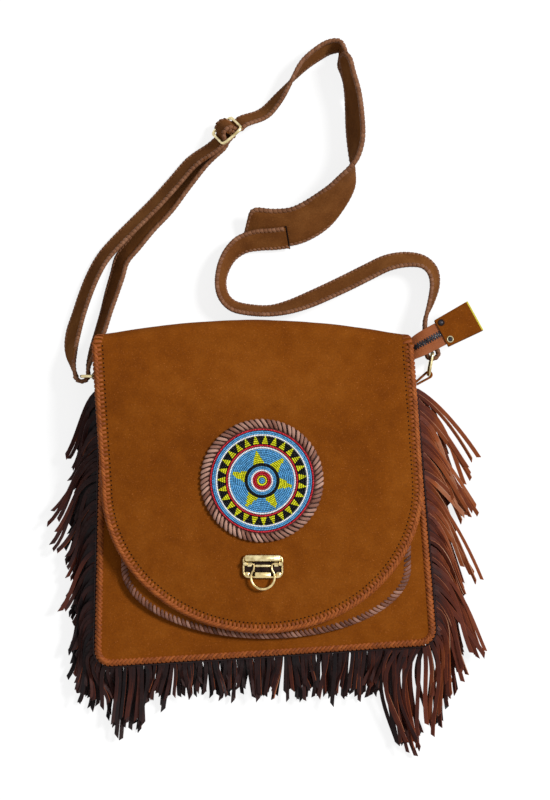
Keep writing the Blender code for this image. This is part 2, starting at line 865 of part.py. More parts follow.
def field_with_teeth(inner, shapes):
    """The inner edge of a ring whose beads give way to these shapes, a gap clear of them."""
    middles = [math.atan2(sum(p[1] for p in shape), sum(p[0] for p in shape)) for shape in shapes]
    edge = []
    for shape, middle, after in zip(shapes, middles, [*middles[1:], middles[0]]):
        local = [turned(p, -middle) for p in shape]
        base, tip = local[1][1] + 2 * GAP, local[2][1] + GAP
        reach = local[2][0] + GAP
        low = math.sqrt(inner * inner - base * base)
        corners = [(low, -base), (reach, -tip), (reach, tip), (low, base)]
        edge.extend(turned(p, middle) for p in corners)
        first = math.atan2(base, low)
        last = (after - middle) % (2 * math.pi) - first
        steps = max(1, round((last - first) * inner / BEAD_ARC))
        arc = [lerp(first, last, k / steps) for k in range(1, steps)]
        edge.extend(turned((inner + GAP / 2, 0.0), middle + angle) for angle in arc)
    return edge


def bead_node(name, loops, colour, low, high):
    field = flat_outline(name, loops, high - low, "beads_" + colour)
    field.location = (MEDALLION_X, MEDALLION_Y, bead_floor() + (low + high) / 2)
    return field


def bead_floor():
    return medallion_floor() + MEDALLION_BASE + GAP


def make_beads():
    """Every ring of beads is a node of its own. The star and the ring of triangles are two more."""
    inner = 0.0
    seen = {}
    for ring, radius in BEAD_RINGS:
        colour = ring.split("_")[0]
        seen[colour] = seen.get(colour, 0) + 1
        outer = radius - GAP
        loops = [circle(outer, circle_count(outer))]
        low = 0.0
        if ring == "blue_star":
            loops.append(field_with_teeth(inner, star_points()))
            low = BEAD_UNDERLAY + GAP
        elif ring == "black_teeth":
            loops[0] = circle(outer, TEETH)
            loops.append(field_with_teeth(inner, tooth_points()))
            low = BEAD_UNDERLAY + GAP
        elif inner:
            count = circle_count(inner)
            loops.append(circle(inner / math.cos(math.pi / count), count))
        bead_node("beads_" + colour + "_" + str(seen[colour]), loops, colour, low, BEAD_HEIGHT)
        inner = radius
    for name, ring in (("star", "blue_star"), ("triangles", "black_teeth")):
        loops = [circle(ring_radius(ring) - GAP, 20), circle(ring_before(ring) + GAP, 20)]
        bead_node("beads_yellow_" + name, loops, "yellow", 0.0, BEAD_UNDERLAY)


def medallion_lacing_floor(_):
    return MEDALLION_BASE / 2 + GAP


def make_medallion():
    base = flat_outline("medallion_backing", [circle(MEDALLION_RADIUS, 28)], MEDALLION_BASE, "mauve_lace")
    base.location = (MEDALLION_X, MEDALLION_Y, medallion_floor() + MEDALLION_BASE / 2)
    make_beads()
    inner, outer = BEAD_RINGS[-1][1] + 2 * GAP, MEDALLION_RADIUS - GAP
    lean = MEDALLION_STITCH_LEAN * math.pi / MEDALLION_STITCHES
    edges = []
    for k in range(2 * MEDALLION_STITCHES):
        angle = math.pi * k / MEDALLION_STITCHES
        rim = Vector((*turned((outer, 0.0), angle - lean), 0.0))
        inside = Vector((*turned((inner, 0.0), angle + lean), 0.0))
        edges.append((rim, inside))
    heights = (MEDALLION_STITCH_TOP, MEDALLION_STITCH_DIP)
    lacing = ridged_band("medallion_lacing", edges, medallion_lacing_floor, *heights, "mauve_lace", True)
    lacing.location = base.location


# Clasp

def make_clasp():
    """A plate with a raised bar across its top, and an ear on each side that holds the bail."""
    floor = flap_top(CLASP_X, CLASP_Y + CLASP_DEPTH / 2) + GAP
    place = Vector((CLASP_X, CLASP_Y, floor))
    outline = rounded_box_loop(CLASP_WIDTH, CLASP_DEPTH, CLASP_CORNER)
    housing = flat_outline("clasp_housing", [outline], CLASP_PLATE, "brass")
    housing.location = place + UP * CLASP_PLATE / 2
    housing = as_mesh(housing)
    bar_y = (CLASP_DEPTH - CLASP_BAR_DEPTH) / 2
    bar = box("clasp_bar", (CLASP_WIDTH - 2 * CLASP_BAR_INSET, CLASP_BAR_DEPTH, CLASP_BAR_HEIGHT), "brass")
    bar.location = place + Vector((0, bar_y, CLASP_BAR_HEIGHT / 2 + GAP))
    boolean(housing, bar, "UNION")
    ear_size = (CLASP_EAR, CLASP_BAR_DEPTH + CLASP_EAR_REACH - GAP, CLASP_BAR_HEIGHT + CLASP_EAR_RISE)
    for side in (-1, 1):
        ear = box("clasp_ear", ear_size, "brass")
        ear_x = side * (CLASP_WIDTH / 2 - CLASP_EAR / 2 - CLASP_EAR_INSET)
        ear.location = place + Vector((ear_x, bar_y - CLASP_EAR_REACH / 2 - GAP, (ear_size[2] + GAP) / 2))
        boolean(housing, ear, "UNION")
        socket = cylinder("bail_socket", BAIL_WIRE + GAP, 2 * SOCKET_DEPTH, "brass", 12)
        socket.rotation_euler = (0, math.pi / 2, 0)
        socket.location = place + Vector((side * (ear_inner() + SOCKET_PLACE), BAIL_PIVOT, BAIL_LIFT))
        boolean(housing, socket, "DIFFERENCE")
    hole = cylinder("post_hole", CLASP_HOLE, 4 * CLASP_PLATE, "brass", 12)
    hole.location = place
    boolean(housing, hole, "DIFFERENCE")
    make_bail(place)
    make_catch(place)
    loops = [rounded_box_loop(*CLASP_BACK, CLASP_BACK_CORNER), circle(CLASP_HOLE, 12)]
    back = flat_outline("clasp_back_plate", loops, CATCH_PLATE, "brass")
    low_edge = flap_height(CLASP_X, CLASP_Y - CLASP_BACK[1] / 2)
    back.location = (CLASP_X, CLASP_Y, low_edge - 3 * GAP - CATCH_PLATE / 2)


def ear_inner():
    """Half the clear width between the ears that carry the bail."""
    return CLASP_WIDTH / 2 - CLASP_EAR - CLASP_EAR_INSET


def rounded_box_loop(width, depth, corner):
    loop = []
    for quarter, (sx, sy) in enumerate(((1, 1), (-1, 1), (-1, -1), (1, -1))):
        for k in range(3):
            angle = math.pi / 2 * quarter + math.pi / 4 * k
            x = sx * (width / 2 - corner) + corner * math.cos(angle)
            y = sy * (depth / 2 - corner) + corner * math.sin(angle)
            loop.append((x, y))
    return loop


def make_bail(place):
    """An omega of wire: feet turned out into the ears, a narrow neck, and a round bow."""
    half = [(ear_inner() + BAIL_FOOT, 0.0), (BAIL_NECK + BAIL_SHOULDER, 0.0), (BAIL_NECK, -BAIL_SHOULDER)]
    for k in range(8):
        angle = math.radians(lerp(BAIL_OPENING, -90, k / 7))
        half.append((BAIL_RADIUS * math.cos(angle), -BAIL_DROP + BAIL_RADIUS * math.sin(angle)))
    line = half + [(-x, y) for x, y in reversed(half[:-1])]
    points = [Vector((x, y, 0.0)) for x, y in line]
    bail = tube("clasp_bail", points, BAIL_WIRE, "brass", resolution=1)
    bail.location = place + Vector((0, BAIL_PIVOT, BAIL_LIFT))


def make_catch(place):
    """The catch on the pocket: a plate with the post that passes through the flap."""
    floor = pocket_height(CLASP_X, CLASP_Y) + SUEDE_THICKNESS + 2 * GAP
    plate = box("clasp_catch", (*CATCH, CATCH_PLATE), "brass")
    plate.location = (CLASP_X, CLASP_Y, floor + CATCH_PLATE / 2)
    low, high = floor + GAP, place.z + CLASP_PLATE / 2
    post = cylinder("catch_post", CLASP_POST, high - low, "brass", 10)
    post.location = (CLASP_X, CLASP_Y, (high + low) / 2)
    boolean(plate, post, "UNION")


# Straps and their hardware

# Each route point is x, y, the lean of the strap's width from level, and its lift where it is raised.
# The points named for a ring are measured from that ring's outer bar.

LEAN = math.radians

SHORT_STRAP_ROUTE = (
    (0.0198, 0.2325, LEAN(34)), (0.0080, 0.2305, LEAN(34)),
    (-0.0075, 0.2290, LEAN(36)), (-0.0225, 0.2240, LEAN(46)),
    (-0.0340, 0.2115, LEAN(60)), (-0.0400, 0.1945, LEAN(69)), (-0.0385, 0.1790, LEAN(69)),
    (-0.0300, 0.1690, LEAN(68)), (-0.0155, 0.1650, LEAN(68)), (0.0040, 0.1640, LEAN(68)),
    (0.0220, 0.1675, LEAN(61)), (0.0400, 0.1740, LEAN(54)), (0.0570, 0.1815, LEAN(52)),
    (0.0750, 0.1900, LEAN(51)), (0.0930, 0.1990, LEAN(51)), (0.1110, 0.2075, LEAN(52)),
    (0.1280, 0.2105, LEAN(56)), (0.1430, 0.2085, LEAN(62)), (0.1520, 0.2000, LEAN(66)),
)
SHORT_STRAP_TO_RING = (
    (0.0025, 0.0615, LEAN(72)), (-0.0010, 0.0465, LEAN(80), 0.002), (-0.0060, 0.0315, LEAN(90), 0.0045),
)
RIGHT_LOOP_IN = ((-0.0065, 0.0180), (-0.0050, 0.0080))
RIGHT_LOOP_TURN = (180, 220, 260, 300, 340, 380)
RIGHT_LOOP_OUT = ((0.0002, 0.0105), (-0.0016, 0.0200))

LONG_STRAP_DOWN = (
    (-0.0560, 0.2990, LEAN(119)), (-0.0735, 0.2775, LEAN(122)), (-0.0890, 0.2580, LEAN(128)),
    (-0.1050, 0.2410, LEAN(128)), (-0.1190, 0.2240, LEAN(128)), (-0.1295, 0.2110, LEAN(127)),
    (-0.1340, 0.1960, LEAN(125)), (-0.1390, 0.1800, LEAN(122)), (-0.1440, 0.1630, LEAN(116)),
)
LONG_STRAP_TO_RING = (
    (0.0170, 0.0415, LEAN(106), 0.002), (0.0110, 0.0245, LEAN(96), 0.004),
    (0.0063, 0.0105, LEAN(90), TURN_LIFT),
)
LEFT_LOOP_TURN = (0, -30, -60, -90, -120, -150, -180)
LONG_STRAP_FROM_RING = (
    (-0.0085, 0.0115, LEAN(88), 0.0045), (-0.0100, 0.0245, LEAN(76), 0.002), (-0.0080, 0.0395, LEAN(64)),
)
LONG_STRAP_UP = (
    (-0.1690, 0.1610, LEAN(60)), (-0.1630, 0.1790, LEAN(60)), (-0.1560, 0.1960, LEAN(60)),
    (-0.1470, 0.2120, LEAN(60)), (-0.1340, 0.2270, LEAN(60)), (-0.1170, 0.2440, LEAN(60)),
    (-0.0990, 0.2620, LEAN(60)), (-0.0820, 0.2810, LEAN(60)), (-0.0660, 0.2990, LEAN(60)),
)
# Round the adjuster's bar: turns in degrees, and places along the strap with their height over its lower run

SEWN_LOOP_TURN = (115, 80, 45, 10, -30, -65)
SEWN_LOOP_END = ((-0.0060, 0.0022), (-0.0110, 0.0), (-0.0170, -0.0006))
WEAVE_TURN = (171, 135, 90, 45, 9)
WEAVE_IN = ((0.0084, 0.0014), (0.0110, 0.0), (0.0215, -0.0002))
WEAVE_OUT = ((0.0084, 0.0014), (0.0110, 0.0), (0.0180, -0.0006))

LONG_STRAP_TO_PAD = (
    (-0.0010, 0.3430, LEAN(62)), (0.0130, 0.3580, LEAN(70)), (0.0248, 0.3740, LEAN(90)),
    (0.0350, 0.3870, LEAN(108)), (0.0480, 0.3975, LEAN(116)), (0.0590, 0.4035, LEAN(118)),
    (0.0690, 0.4030, LEAN(114), 0.0012),
)

PAD_ROUTE = (
    (0.0668, 0.3950, LEAN(116)), (0.0700, 0.3880, LEAN(115)), (0.0730, 0.3780, LEAN(113)),
    (0.0780, 0.3600, LEAN(113)), (0.0810, 0.3400, LEAN(112)), (0.0822, 0.3200, LEAN(110)),
    (0.0812, 0.3040, LEAN(100)), (0.0785, 0.2920, LEAN(84)), (0.0735, 0.2800, LEAN(66)),
    (0.0640, 0.2670, LEAN(54)), (0.0480, 0.2520, LEAN(38)), (0.0300, 0.2420, LEAN(33)),
    (0.0120, 0.2390, LEAN(31)), (-0.0050, 0.2400, LEAN(31)), (-0.0165, 0.2430, LEAN(31)),
)


def slider_axes():
    ahead = heading(SLIDER_ANGLE)
    across = ahead.cross(UP) * math.cos(SLIDER_TILT) + UP * math.sin(SLIDER_TILT)
    return ahead, across, across.cross(ahead)


def slider_place(along, through):
    ahead, _, normal = slider_axes()
    return Vector((SLIDER_X, SLIDER_Y, SLIDER_HEIGHT)) + ahead * along + normal * through


def make_slider():
    """A tri-glide: a wire frame with a bar across its middle."""
    along, across = SLIDER_ALONG - 2 * SLIDER_WIRE, SLIDER_ACROSS - 2 * SLIDER_WIRE
    frame_points = [Vector((x, y, 0.0)) for x, y in rounded_box_loop(along, across, SLIDER_CORNER)]
    frame = as_mesh(tube("strap_slider", frame_points, SLIDER_WIRE, "brass", cyclic=True, resolution=1))
    bar = cylinder("slider_bar", SLIDER_WIRE, across, "brass", 8)
    ahead, width_way, normal = slider_axes()
    turn = Matrix((ahead, width_way, -normal)).transposed().to_4x4()
    place = Matrix.Translation((SLIDER_X, SLIDER_Y, SLIDER_HEIGHT)) @ turn
    bar.matrix_world = place @ Matrix.Rotation(math.pi / 2, 4, "X")
    frame.matrix_world = place
    boolean(frame, bar, "UNION")


def from_place(place, offsets):
    """Route points whose x and y are measured from a place."""
    return [(place.x + point[0], place.y + point[1], *point[2:]) for point in offsets]


def ring_place(side):
    """The outer bar of a ring: side is -1 on the left and 1 on the right."""
    offset = RING_RIGHT_OFFSET if side > 0 else RING_LEFT_OFFSET
    return body_corner(side) + Vector((*offset, 0.0))


def long_strap_stations():
    """From the sewn loop on the adjuster's bar to the left ring, back to the adjuster, and to the pad."""
    _, across, _ = slider_axes()
    loop = SLIDER_WIRE + 2 * GAP + STRAP_THICKNESS / 2
    over = loop + STRAP_THICKNESS + 2 * GAP
    under = -(SLIDER_WIRE + GAP + STRAP_THICKNESS / 2 + SLIDER_SLACK)
    low = under - STRAP_THICKNESS - 2 * GAP
    loop_path = [(loop * math.cos(a), loop * math.sin(a)) for a in map(math.radians, SEWN_LOOP_TURN)]
    loop_path += [(along, low + through) for along, through in SEWN_LOOP_END]
    stations = [(slider_place(s, n), across) for s, n in loop_path]
    ring = ring_place(-1)
    turn = [
        (TURN_RADIUS * math.cos(a), TURN_SHIFT + TURN_RADIUS * math.sin(a), LEAN(90), TURN_LIFT)
        for a in map(math.radians, LEFT_LOOP_TURN)
    ]
    turn = from_place(ring, turn)
    to_ring, from_ring = from_place(ring, LONG_STRAP_TO_RING), from_place(ring, LONG_STRAP_FROM_RING)
    stations += leaning([*LONG_STRAP_DOWN, *to_ring, *turn, *from_ring, *LONG_STRAP_UP], STRAP_WIDTH)
    weave = [(-along, under + through) for along, through in reversed(WEAVE_IN)]
    weave += [(over * math.cos(a), over * math.sin(a)) for a in map(math.radians, WEAVE_TURN)]
    weave += [(along, under + through) for along, through in WEAVE_OUT]
    stations += [(slider_place(s, n), across) for s, n in weave]
    lap = [
        (place + across.cross(ahead) * PAD_LAP_OFFSET - across * PAD_LAP_SHIFT, across)
        for (place, across), ahead in list(zip(pad_stations(), pad_directions()))[1:4]
    ]
    return stations + leaning(LONG_STRAP_TO_PAD, STRAP_WIDTH) + lap


def pad_stations():
    return leaning(PAD_ROUTE, PAD_WIDTH)


def pad_directions():
    return tangents([place for place, _ in pad_stations()])


def make_straps():
    profile = strap_profile(STRAP_WIDTH, STRAP_THICKNESS)
    sweep("strap_long", long_strap_stations(), profile, "strap_leather")
    pad = band_profile(PAD_WIDTH, PAD_THICKNESS, PAD_EDGE, PAD_RIM)
    sweep("shoulder_pad", pad_stations(), pad, "strap_leather")
    sweep("strap_short", short_strap_stations(), profile, "strap_leather")


def short_strap_stations():
    """From where it is sewn on the pad, along the ground, and round the right ring's bar."""
    ring = ring_place(1)
    lying = leaning([*SHORT_STRAP_ROUTE, *from_place(ring, SHORT_STRAP_TO_RING)], STRAP_WIDTH)
    lift = PAD_THICKNESS / 2 + STRAP_THICKNESS / 2 + 2 * GAP
    raised = []
    for i, (place, across) in enumerate(lying):
        share = max(0.0, 1 - i / SHORT_LAP_STATIONS)
        normal = across.cross(Vector((-1, 0, 0))).normalized()
        raised.append((place + normal * lift * share, across))
    radius = RING_WIRE + STRAP_THICKNESS / 2 + RING_PLAY
    bend = [(radius * math.cos(a), radius * math.sin(a)) for a in map(math.radians, RIGHT_LOOP_TURN)]
    loop = from_place(ring, [*RIGHT_LOOP_IN, *bend, *RIGHT_LOOP_OUT])
    return raised + [(Vector((x, y, RING_HEIGHT)), UP) for x, y in loop]


def heading(direction):
    return Vector((math.cos(direction), math.sin(direction), 0.0))


def ring_pivot(place, reach, direction):
    """The middle of the bar that the ring turns about, inside its tab."""
    return Vector((place.x, place.y, RING_HEIGHT)) - heading(direction) * reach


def make_ring(side, place, reach, direction):
    """A rectangular ring on edge, its outer bar upright at place."""
    ahead = heading(direction)
    pivot = ring_pivot(place, reach, direction)
    middle = pivot + ahead * reach / 2
    points = [middle + ahead * x + UP * y for x, y in rounded_box_loop(reach, RING_ACROSS, RING_CORNER)]
    tube("ring_" + side, points, RING_WIRE, "brass", cyclic=True, resolution=1)
    hang_on_axis("ring_" + side + "_axis", pivot, ["ring_" + side])
    return pivot


def make_ring_tab(side, pivot, direction, tail):
    """A strip folded round the ring's inner bar, with its two leaves sewn to the bag."""
    radius = RING_WIRE + GAP + TAB_THICKNESS / 2 + TAB_PLAY
    ahead = heading(direction)
    normal = UP.cross(ahead)
    angles = map(math.radians, TAB_LOOP_TURN)
    loop = [pivot + (ahead * math.cos(a) + normal * math.sin(a)) * radius for a in angles]
    leaf = TAB_THICKNESS / 2 + GAP * 0.7
    ends = [pivot - ahead * tail + normal * sign * leaf for sign in (1, -1)]
    line = [ends[0], *loop, ends[1]]
    sweep("ring_tab_" + side, [(p, UP) for p in line], flat_profile(TAB_WIDTH, TAB_THICKNESS), "suede")


def make_rings():
    left = make_ring("left", ring_place(-1), RING_LEFT_REACH, RING_LEFT_TURN)
    make_ring_tab("left", left, TAB_LEFT_TURN, TAB_LEFT_TAIL)
    right = make_ring("right", ring_place(1), RING_RIGHT_REACH, RING_RIGHT_TURN)
    make_ring_tab("right", right, TAB_RIGHT_TURN, TAB_RIGHT_TAIL)


# Zip

# The zip's tail: x from the body's upper right corner, out from the zip's line, rise, and lean.

ZIP_TAIL_ROUTE = (
    (-0.0430, 0.0, 0.0, LEAN(90)), (-0.0370, 0.0, 0.0, LEAN(90)), (-0.0270, 0.0030, 0.0020, LEAN(88)),
    (-0.0120, 0.0105, 0.0090, LEAN(68)), (0.0010, 0.0190, 0.0160, LEAN(36)),
    (0.0130, 0.0260, 0.0170, LEAN(12)), (0.0250, 0.0325, 0.0160, LEAN(8)), (0.0350, 0.0375, 0.0145, LEAN(8)),
)


def zip_stations():
    """The start of the zip in the mouth, and then the tail's stations."""
    route = [(body_corner(-1).x + ZIP_START, 0.0, 0.0, LEAN(90))]
    route += [(body_corner(1).x + x, out, rise, lean) for x, out, rise, lean in ZIP_TAIL_ROUTE]
    places = [Vector((x, ZIP_Y + out, ZIP_HEIGHT + rise)) for x, out, rise, _ in route]
    stations = []
    for place, ahead, (_, _, _, lean) in zip(places, tangents(places), route):
        side = ahead.cross(UP).normalized()
        stations.append((place, side * math.cos(lean) + UP * math.sin(lean)))
    return stations


def facing_width(x):
    share = (body_corner(1).x - TAPER_END - x) / TAPER_LENGTH
    return lerp(FACING_WIDTH, FACING_MOUTH_WIDTH, min(1.0, max(0.0, share)))


def make_zip():
    """Teeth along the whole zip, wide facings in the mouth, and narrower ones on the tail."""
    stations = zip_stations()
    teeth_shift = TEETH_SLIT / 2 + TEETH_WIDTH / 2
    inner_edge = TEETH_SLIT / 2 + TEETH_WIDTH + 2 * GAP
    mouth, tail = stations[:2], stations[1:]
    tail[0] = (tail[0][0] + Vector((GAP, 0.0, 0.0)), tail[0][1])
    for label, sign in (("front", 1), ("back", -1)):
        teeth = flat_profile(TEETH_WIDTH, TEETH_THICKNESS, sign * teeth_shift)
        sweep("zip_teeth_" + label, stations, teeth, "black_metal")
        for name, line in (("zip_facing_", mouth), ("zip_tail_", tail)):
            widths = [facing_width(place.x) for place, _ in line]
            shifts = [sign * (inner_edge + width / 2) for width in widths]
            facings = [flat_profile(width, FACING_THICKNESS, shift) for width, shift in zip(widths, shifts)]
            sweep(name + label, line, facings, "facing_leather")
    make_zip_slider()
    make_end_tab(stations)


def make_zip_slider():
    """Two plates joined by a neck in the slit between the teeth, with the pull on the outer one."""
    place = Vector((body_corner(-1).x + ZIP_SLIDER_START, ZIP_Y, ZIP_HEIGHT))
    plate = (ZIP_SLIDER_LENGTH, ZIP_SLIDER_PLATE, ZIP_SLIDER_WIDTH)
    plate_y = TEETH_THICKNESS / 2 + GAP + ZIP_SLIDER_PLATE / 2
    outer = box("zip_slider", plate, "black_metal")
    outer.location = place + Vector((0, plate_y, 0))
    inner = box("slider_inner", plate, "black_metal")
    inner.location = place - Vector((0, plate_y, 0))
    neck = box("slider_neck", (ZIP_NECK_LENGTH, 2 * plate_y, TEETH_SLIT - 2 * GAP), "black_metal")
    neck.location = place
    boolean(outer, inner, "UNION")
    boolean(outer, neck, "UNION")
    face = plate_y + ZIP_SLIDER_PLATE / 2
    bridge = box("slider_bridge", (BRIDGE_LENGTH, BRIDGE_PLATE, BRIDGE_WIDTH), "black_metal")
    bridge.location = place + Vector((0, face + PULL_ROOM + BRIDGE_PLATE / 2, 0))
    boolean(outer, bridge, "UNION")
    for side in (-1, 1):
        post = box("bridge_post", (BRIDGE_POST, PULL_ROOM + 2 * GAP, BRIDGE_WIDTH), "black_metal")
        post.location = place + Vector((side * (BRIDGE_LENGTH - BRIDGE_POST) / 2, face + PULL_ROOM / 2, 0))
        boolean(outer, post, "UNION")
    make_pull(place + Vector((0.0, face + PULL_ROOM / 2, 0.0)))


def make_pull(place):
    """A flat pull that hangs by the bar at its eye, with its origin on the bar."""
    outline = rounded_box_loop(PULL_LENGTH, PULL_WIDTH, PULL_CORNER)
    eye = rounded_box_loop(*PULL_EYE, PULL_EYE_CORNER)
    loops = [
        [(max(x + PULL_LENGTH / 2 - PULL_BAR, -PULL_BAR), y) for x, y in outline],
        [(x + PULL_EYE_PLACE, y) for x, y in eye],
    ]
    pull = flat_outline("zip_pull", loops, PULL_THICKNESS, "black_metal")
    pull.rotation_euler = (-math.pi / 2, 0, 0)
    pull.location = place


def make_end_tab(stations):
    """A folded tab over the zip's end, with the two rivets that close it."""
    place, across = stations[-1]
    ahead = (place - stations[-3][0]).normalized()
    across = (across - ahead * across.dot(ahead)).normalized()
    turn = Matrix((ahead, across, ahead.cross(across))).transposed().to_4x4()
    middle = place + ahead * (END_TAB_LENGTH / 2 - END_TAB_OVERLAP)
    tab = box("zip_end_tab", (END_TAB_LENGTH, END_TAB_WIDTH, END_TAB_THICKNESS), "suede")
    tab.matrix_world = Matrix.Translation(middle) @ turn
    room_width = 2 * (TEETH_SLIT / 2 + TEETH_WIDTH + 2 * GAP + FACING_WIDTH) + 4 * GAP
    room_size = (2 * END_TAB_OVERLAP + 2 * GAP, room_width, FACING_THICKNESS + 7 * GAP)
    room = box("tab_room", room_size, "suede")
    room.matrix_world = Matrix.Translation(place - ahead * (END_TAB_OVERLAP - GAP * 2)) @ turn
    boolean(tab, room, "DIFFERENCE")
    for label, side in (("upper", -1), ("lower", 1)):
        local = Matrix.Translation((RIVET_IN - END_TAB_LENGTH / 2, side * RIVET_SPREAD, 0.0))
        rivet = turned_piece("zip_tab_rivet_" + label, rivet_profile(), "black_metal")
        rivet.matrix_world = Matrix.Translation(middle) @ turn @ local
        for holed in ("zip_end_tab", "zip_tail_front", "zip_tail_back"):
            hole = cylinder("rivet_hole", RIVET_SHAFT + GAP, 3 * END_TAB_THICKNESS, "suede", 8)
            hole.matrix_world = rivet.matrix_world
            boolean(PARTS.objects[holed], hole, "DIFFERENCE")


def rivet_profile():
    """Half a through rivet from the axis to the axis, a low crown at each end of its shaft."""
    face = END_TAB_THICKNESS / 2 + GAP
    upper = [
        (RIVET_SHAFT, face), (RIVET_RADIUS, face),
        (RIVET_RADIUS * 0.75, face + RIVET_CROWN * 0.8), (0.0, face + RIVET_CROWN),
    ]
    return [(r, -z) for r, z in reversed(upper)] + upper


# Fringe

def fringe_fall(share, k):
    """The direction and the length of a strip. Strips are cut to uneven lengths."""
    uneven = 1 + 0.10 * math.sin(2.3 * k) + 0.06 * math.sin(5.1 * k)
    for (a, turn_a, length_a), (b, turn_b, length_b) in zip(FRINGE_TURNS, FRINGE_TURNS[1:]):
        if share <= b:
            break
    t = (share - a) / (b - a)
    return heading(math.radians(lerp(turn_a, turn_b, t))), lerp(length_a, length_b, t) * uneven


def make_fringe():
    """Three combs of leather: each is a band along the front seam, cut into strips that fall outwards."""
    places = evenly(outward(body_edge(), FRINGE_STAND_OFF), STRIP_PITCH)
    groups = {"fringe_left": [], "fringe_bottom": [], "fringe_right": []}
    for k, (place, ahead) in enumerate(places):
        share = (k + 0.5) / len(places)
        if place.y > FRINGE_TOP:
            continue
        side = "fringe_left" if share < 0.5 else "fringe_right"
        name = "fringe_bottom" if abs(ahead.x) > 0.97 else side
        groups[name].append((place, ahead, *fringe_fall(share, k)))
    for name, strips in groups.items():
        make_comb(name, strips)


def make_comb(name, strips):
    """Every strip keeps its width along the seam, as it is cut, so its faces stay flat."""
    bm = bmesh.new()
    band = [UP * (SEAM_HEIGHT - drop) for drop in FRINGE_BAND]
    previous = None
    for place, ahead, fall, length in strips:
        half = ahead * STRIP_WIDTH / 2
        top, low = [[bm.verts.new(place + s * half + rise) for s in (-1, 1)] for rise in band]
        if previous:
            bm.faces.new((previous[0], previous[1], low[0], top[0]))
        bm.faces.new((top[0], low[0], low[1], top[1]))
        previous = (top[1], low[1])
        out = Vector((ahead.y, -ahead.x, 0.0)) * FRINGE_BULGE
        last = low
        for travel, height, narrowed in FRINGE_FALL:
            centre = place + out + fall * length * travel + UP * height
            half = ahead * lerp(STRIP_WIDTH, STRIP_TIP, narrowed) / 2
            here = [bm.verts.new(centre + s * half) for s in (-1, 1)]
            bm.faces.new((last[0], here[0], here[1], last[1]))
            last = here
    data = bpy.data.meshes.new(name)
    bm.to_mesh(data)
    bm.free()
    thicken(add_object(name, data, "fringe_leather"), STRIP_THICKNESS, 0.0)


def flap_group():
    """Every piece that turns with the flap, apart from the bail, which has its own axis."""
    names = ["flap", "flap_lacing", "medallion_backing", "medallion_lacing"]
    names += ["clasp_housing", "clasp_back_plate"]
    return names + [obj.name for obj in PARTS.objects if obj.name.startswith("beads_")]


PARTS, CUTTERS = start_scene()
make_body()
make_pocket()
make_fold()
make_flap()
make_flap_lacing()
make_medallion()
make_clasp()
make_straps()
make_slider()
make_rings()
make_zip()
make_fringe()
hang_on_axis("flap_hinge_axis", hinge_place(), flap_group())
for part in PARTS.objects:
    if part.type == "MESH":
        part.data.shade_smooth()
        part.data.set_sharp_from_angle(angle=math.radians(35))
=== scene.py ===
# Looks of the fringed suede shoulder bag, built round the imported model.
# Metres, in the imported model's frame: the bag lies on its back, its mouth to +Y and its front to +Z.

import random
from math import cos, hypot, pi, radians, sin, sqrt

import bmesh
import bpy
from mathutils import Matrix, Vector, noise


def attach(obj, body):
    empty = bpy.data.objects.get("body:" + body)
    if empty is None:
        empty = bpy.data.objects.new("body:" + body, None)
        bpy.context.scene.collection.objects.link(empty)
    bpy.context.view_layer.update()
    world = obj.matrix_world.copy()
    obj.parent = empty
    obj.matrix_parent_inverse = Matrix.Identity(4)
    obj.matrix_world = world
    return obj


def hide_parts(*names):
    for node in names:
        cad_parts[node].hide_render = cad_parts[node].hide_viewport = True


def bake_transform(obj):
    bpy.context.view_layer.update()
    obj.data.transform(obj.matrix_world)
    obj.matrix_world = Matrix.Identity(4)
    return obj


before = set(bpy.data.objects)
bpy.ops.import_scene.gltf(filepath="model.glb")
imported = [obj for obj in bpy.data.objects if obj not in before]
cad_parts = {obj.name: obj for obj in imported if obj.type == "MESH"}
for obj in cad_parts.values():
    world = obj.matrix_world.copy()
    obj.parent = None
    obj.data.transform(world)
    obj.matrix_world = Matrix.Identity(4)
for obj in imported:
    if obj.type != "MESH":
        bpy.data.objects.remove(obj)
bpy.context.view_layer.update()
RANDOM = random.Random(7)
UP = Vector((0, 0, 1))

# Sizes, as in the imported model

GAP = 0.0003
SUEDE = 0.0022
BODY_TOP_WIDTH = 0.28
BODY_BOTTOM_WIDTH = 0.307
BODY_TOP_SHIFT = -0.007
BODY_BOTTOM_SHIFT = 0.0005
BODY_TOP = 0.112
BODY_BOTTOM = -0.147
BOTTOM_SLANT = 0.01
BODY_CORNER = 0.014
SEAM_HEIGHT = 0.034
FRONT_CROWN = 0.007
GUSSET_BULGE = 0.0015
BACK_TOP = 0.13
BACK_LIFT = 0.0011

POCKET_HALF_WIDTH = 0.1295
POCKET_CENTRE = 0.001
POCKET_TOP = 0.06
POCKET_ROUND_START = -0.068
POCKET_ROUND = 0.063
POCKET_DEPTH = 0.0025
POCKET_CROWN = 0.003

FLAP_HALF_WIDTH = 0.144
FLAP_LENGTH = 0.259
FLAP_ROUND = 0.131
FLAP_CENTRE = -0.0025
FLAP_LEAN = -0.068
FLAP_THICKNESS = 0.0024
HINGE_Y = 0.133
HINGE_HEIGHT = 0.047
FLAP_EDGE_HEIGHT = 0.0515
FLAP_CROWN = 0.008
FLAP_RAMP = 0.055
FOLD_REACH = 0.008
FOLD_BULGE = 0.014
FOLD_CORNER = 0.01
FOLD_HALF_WIDTH = 0.131

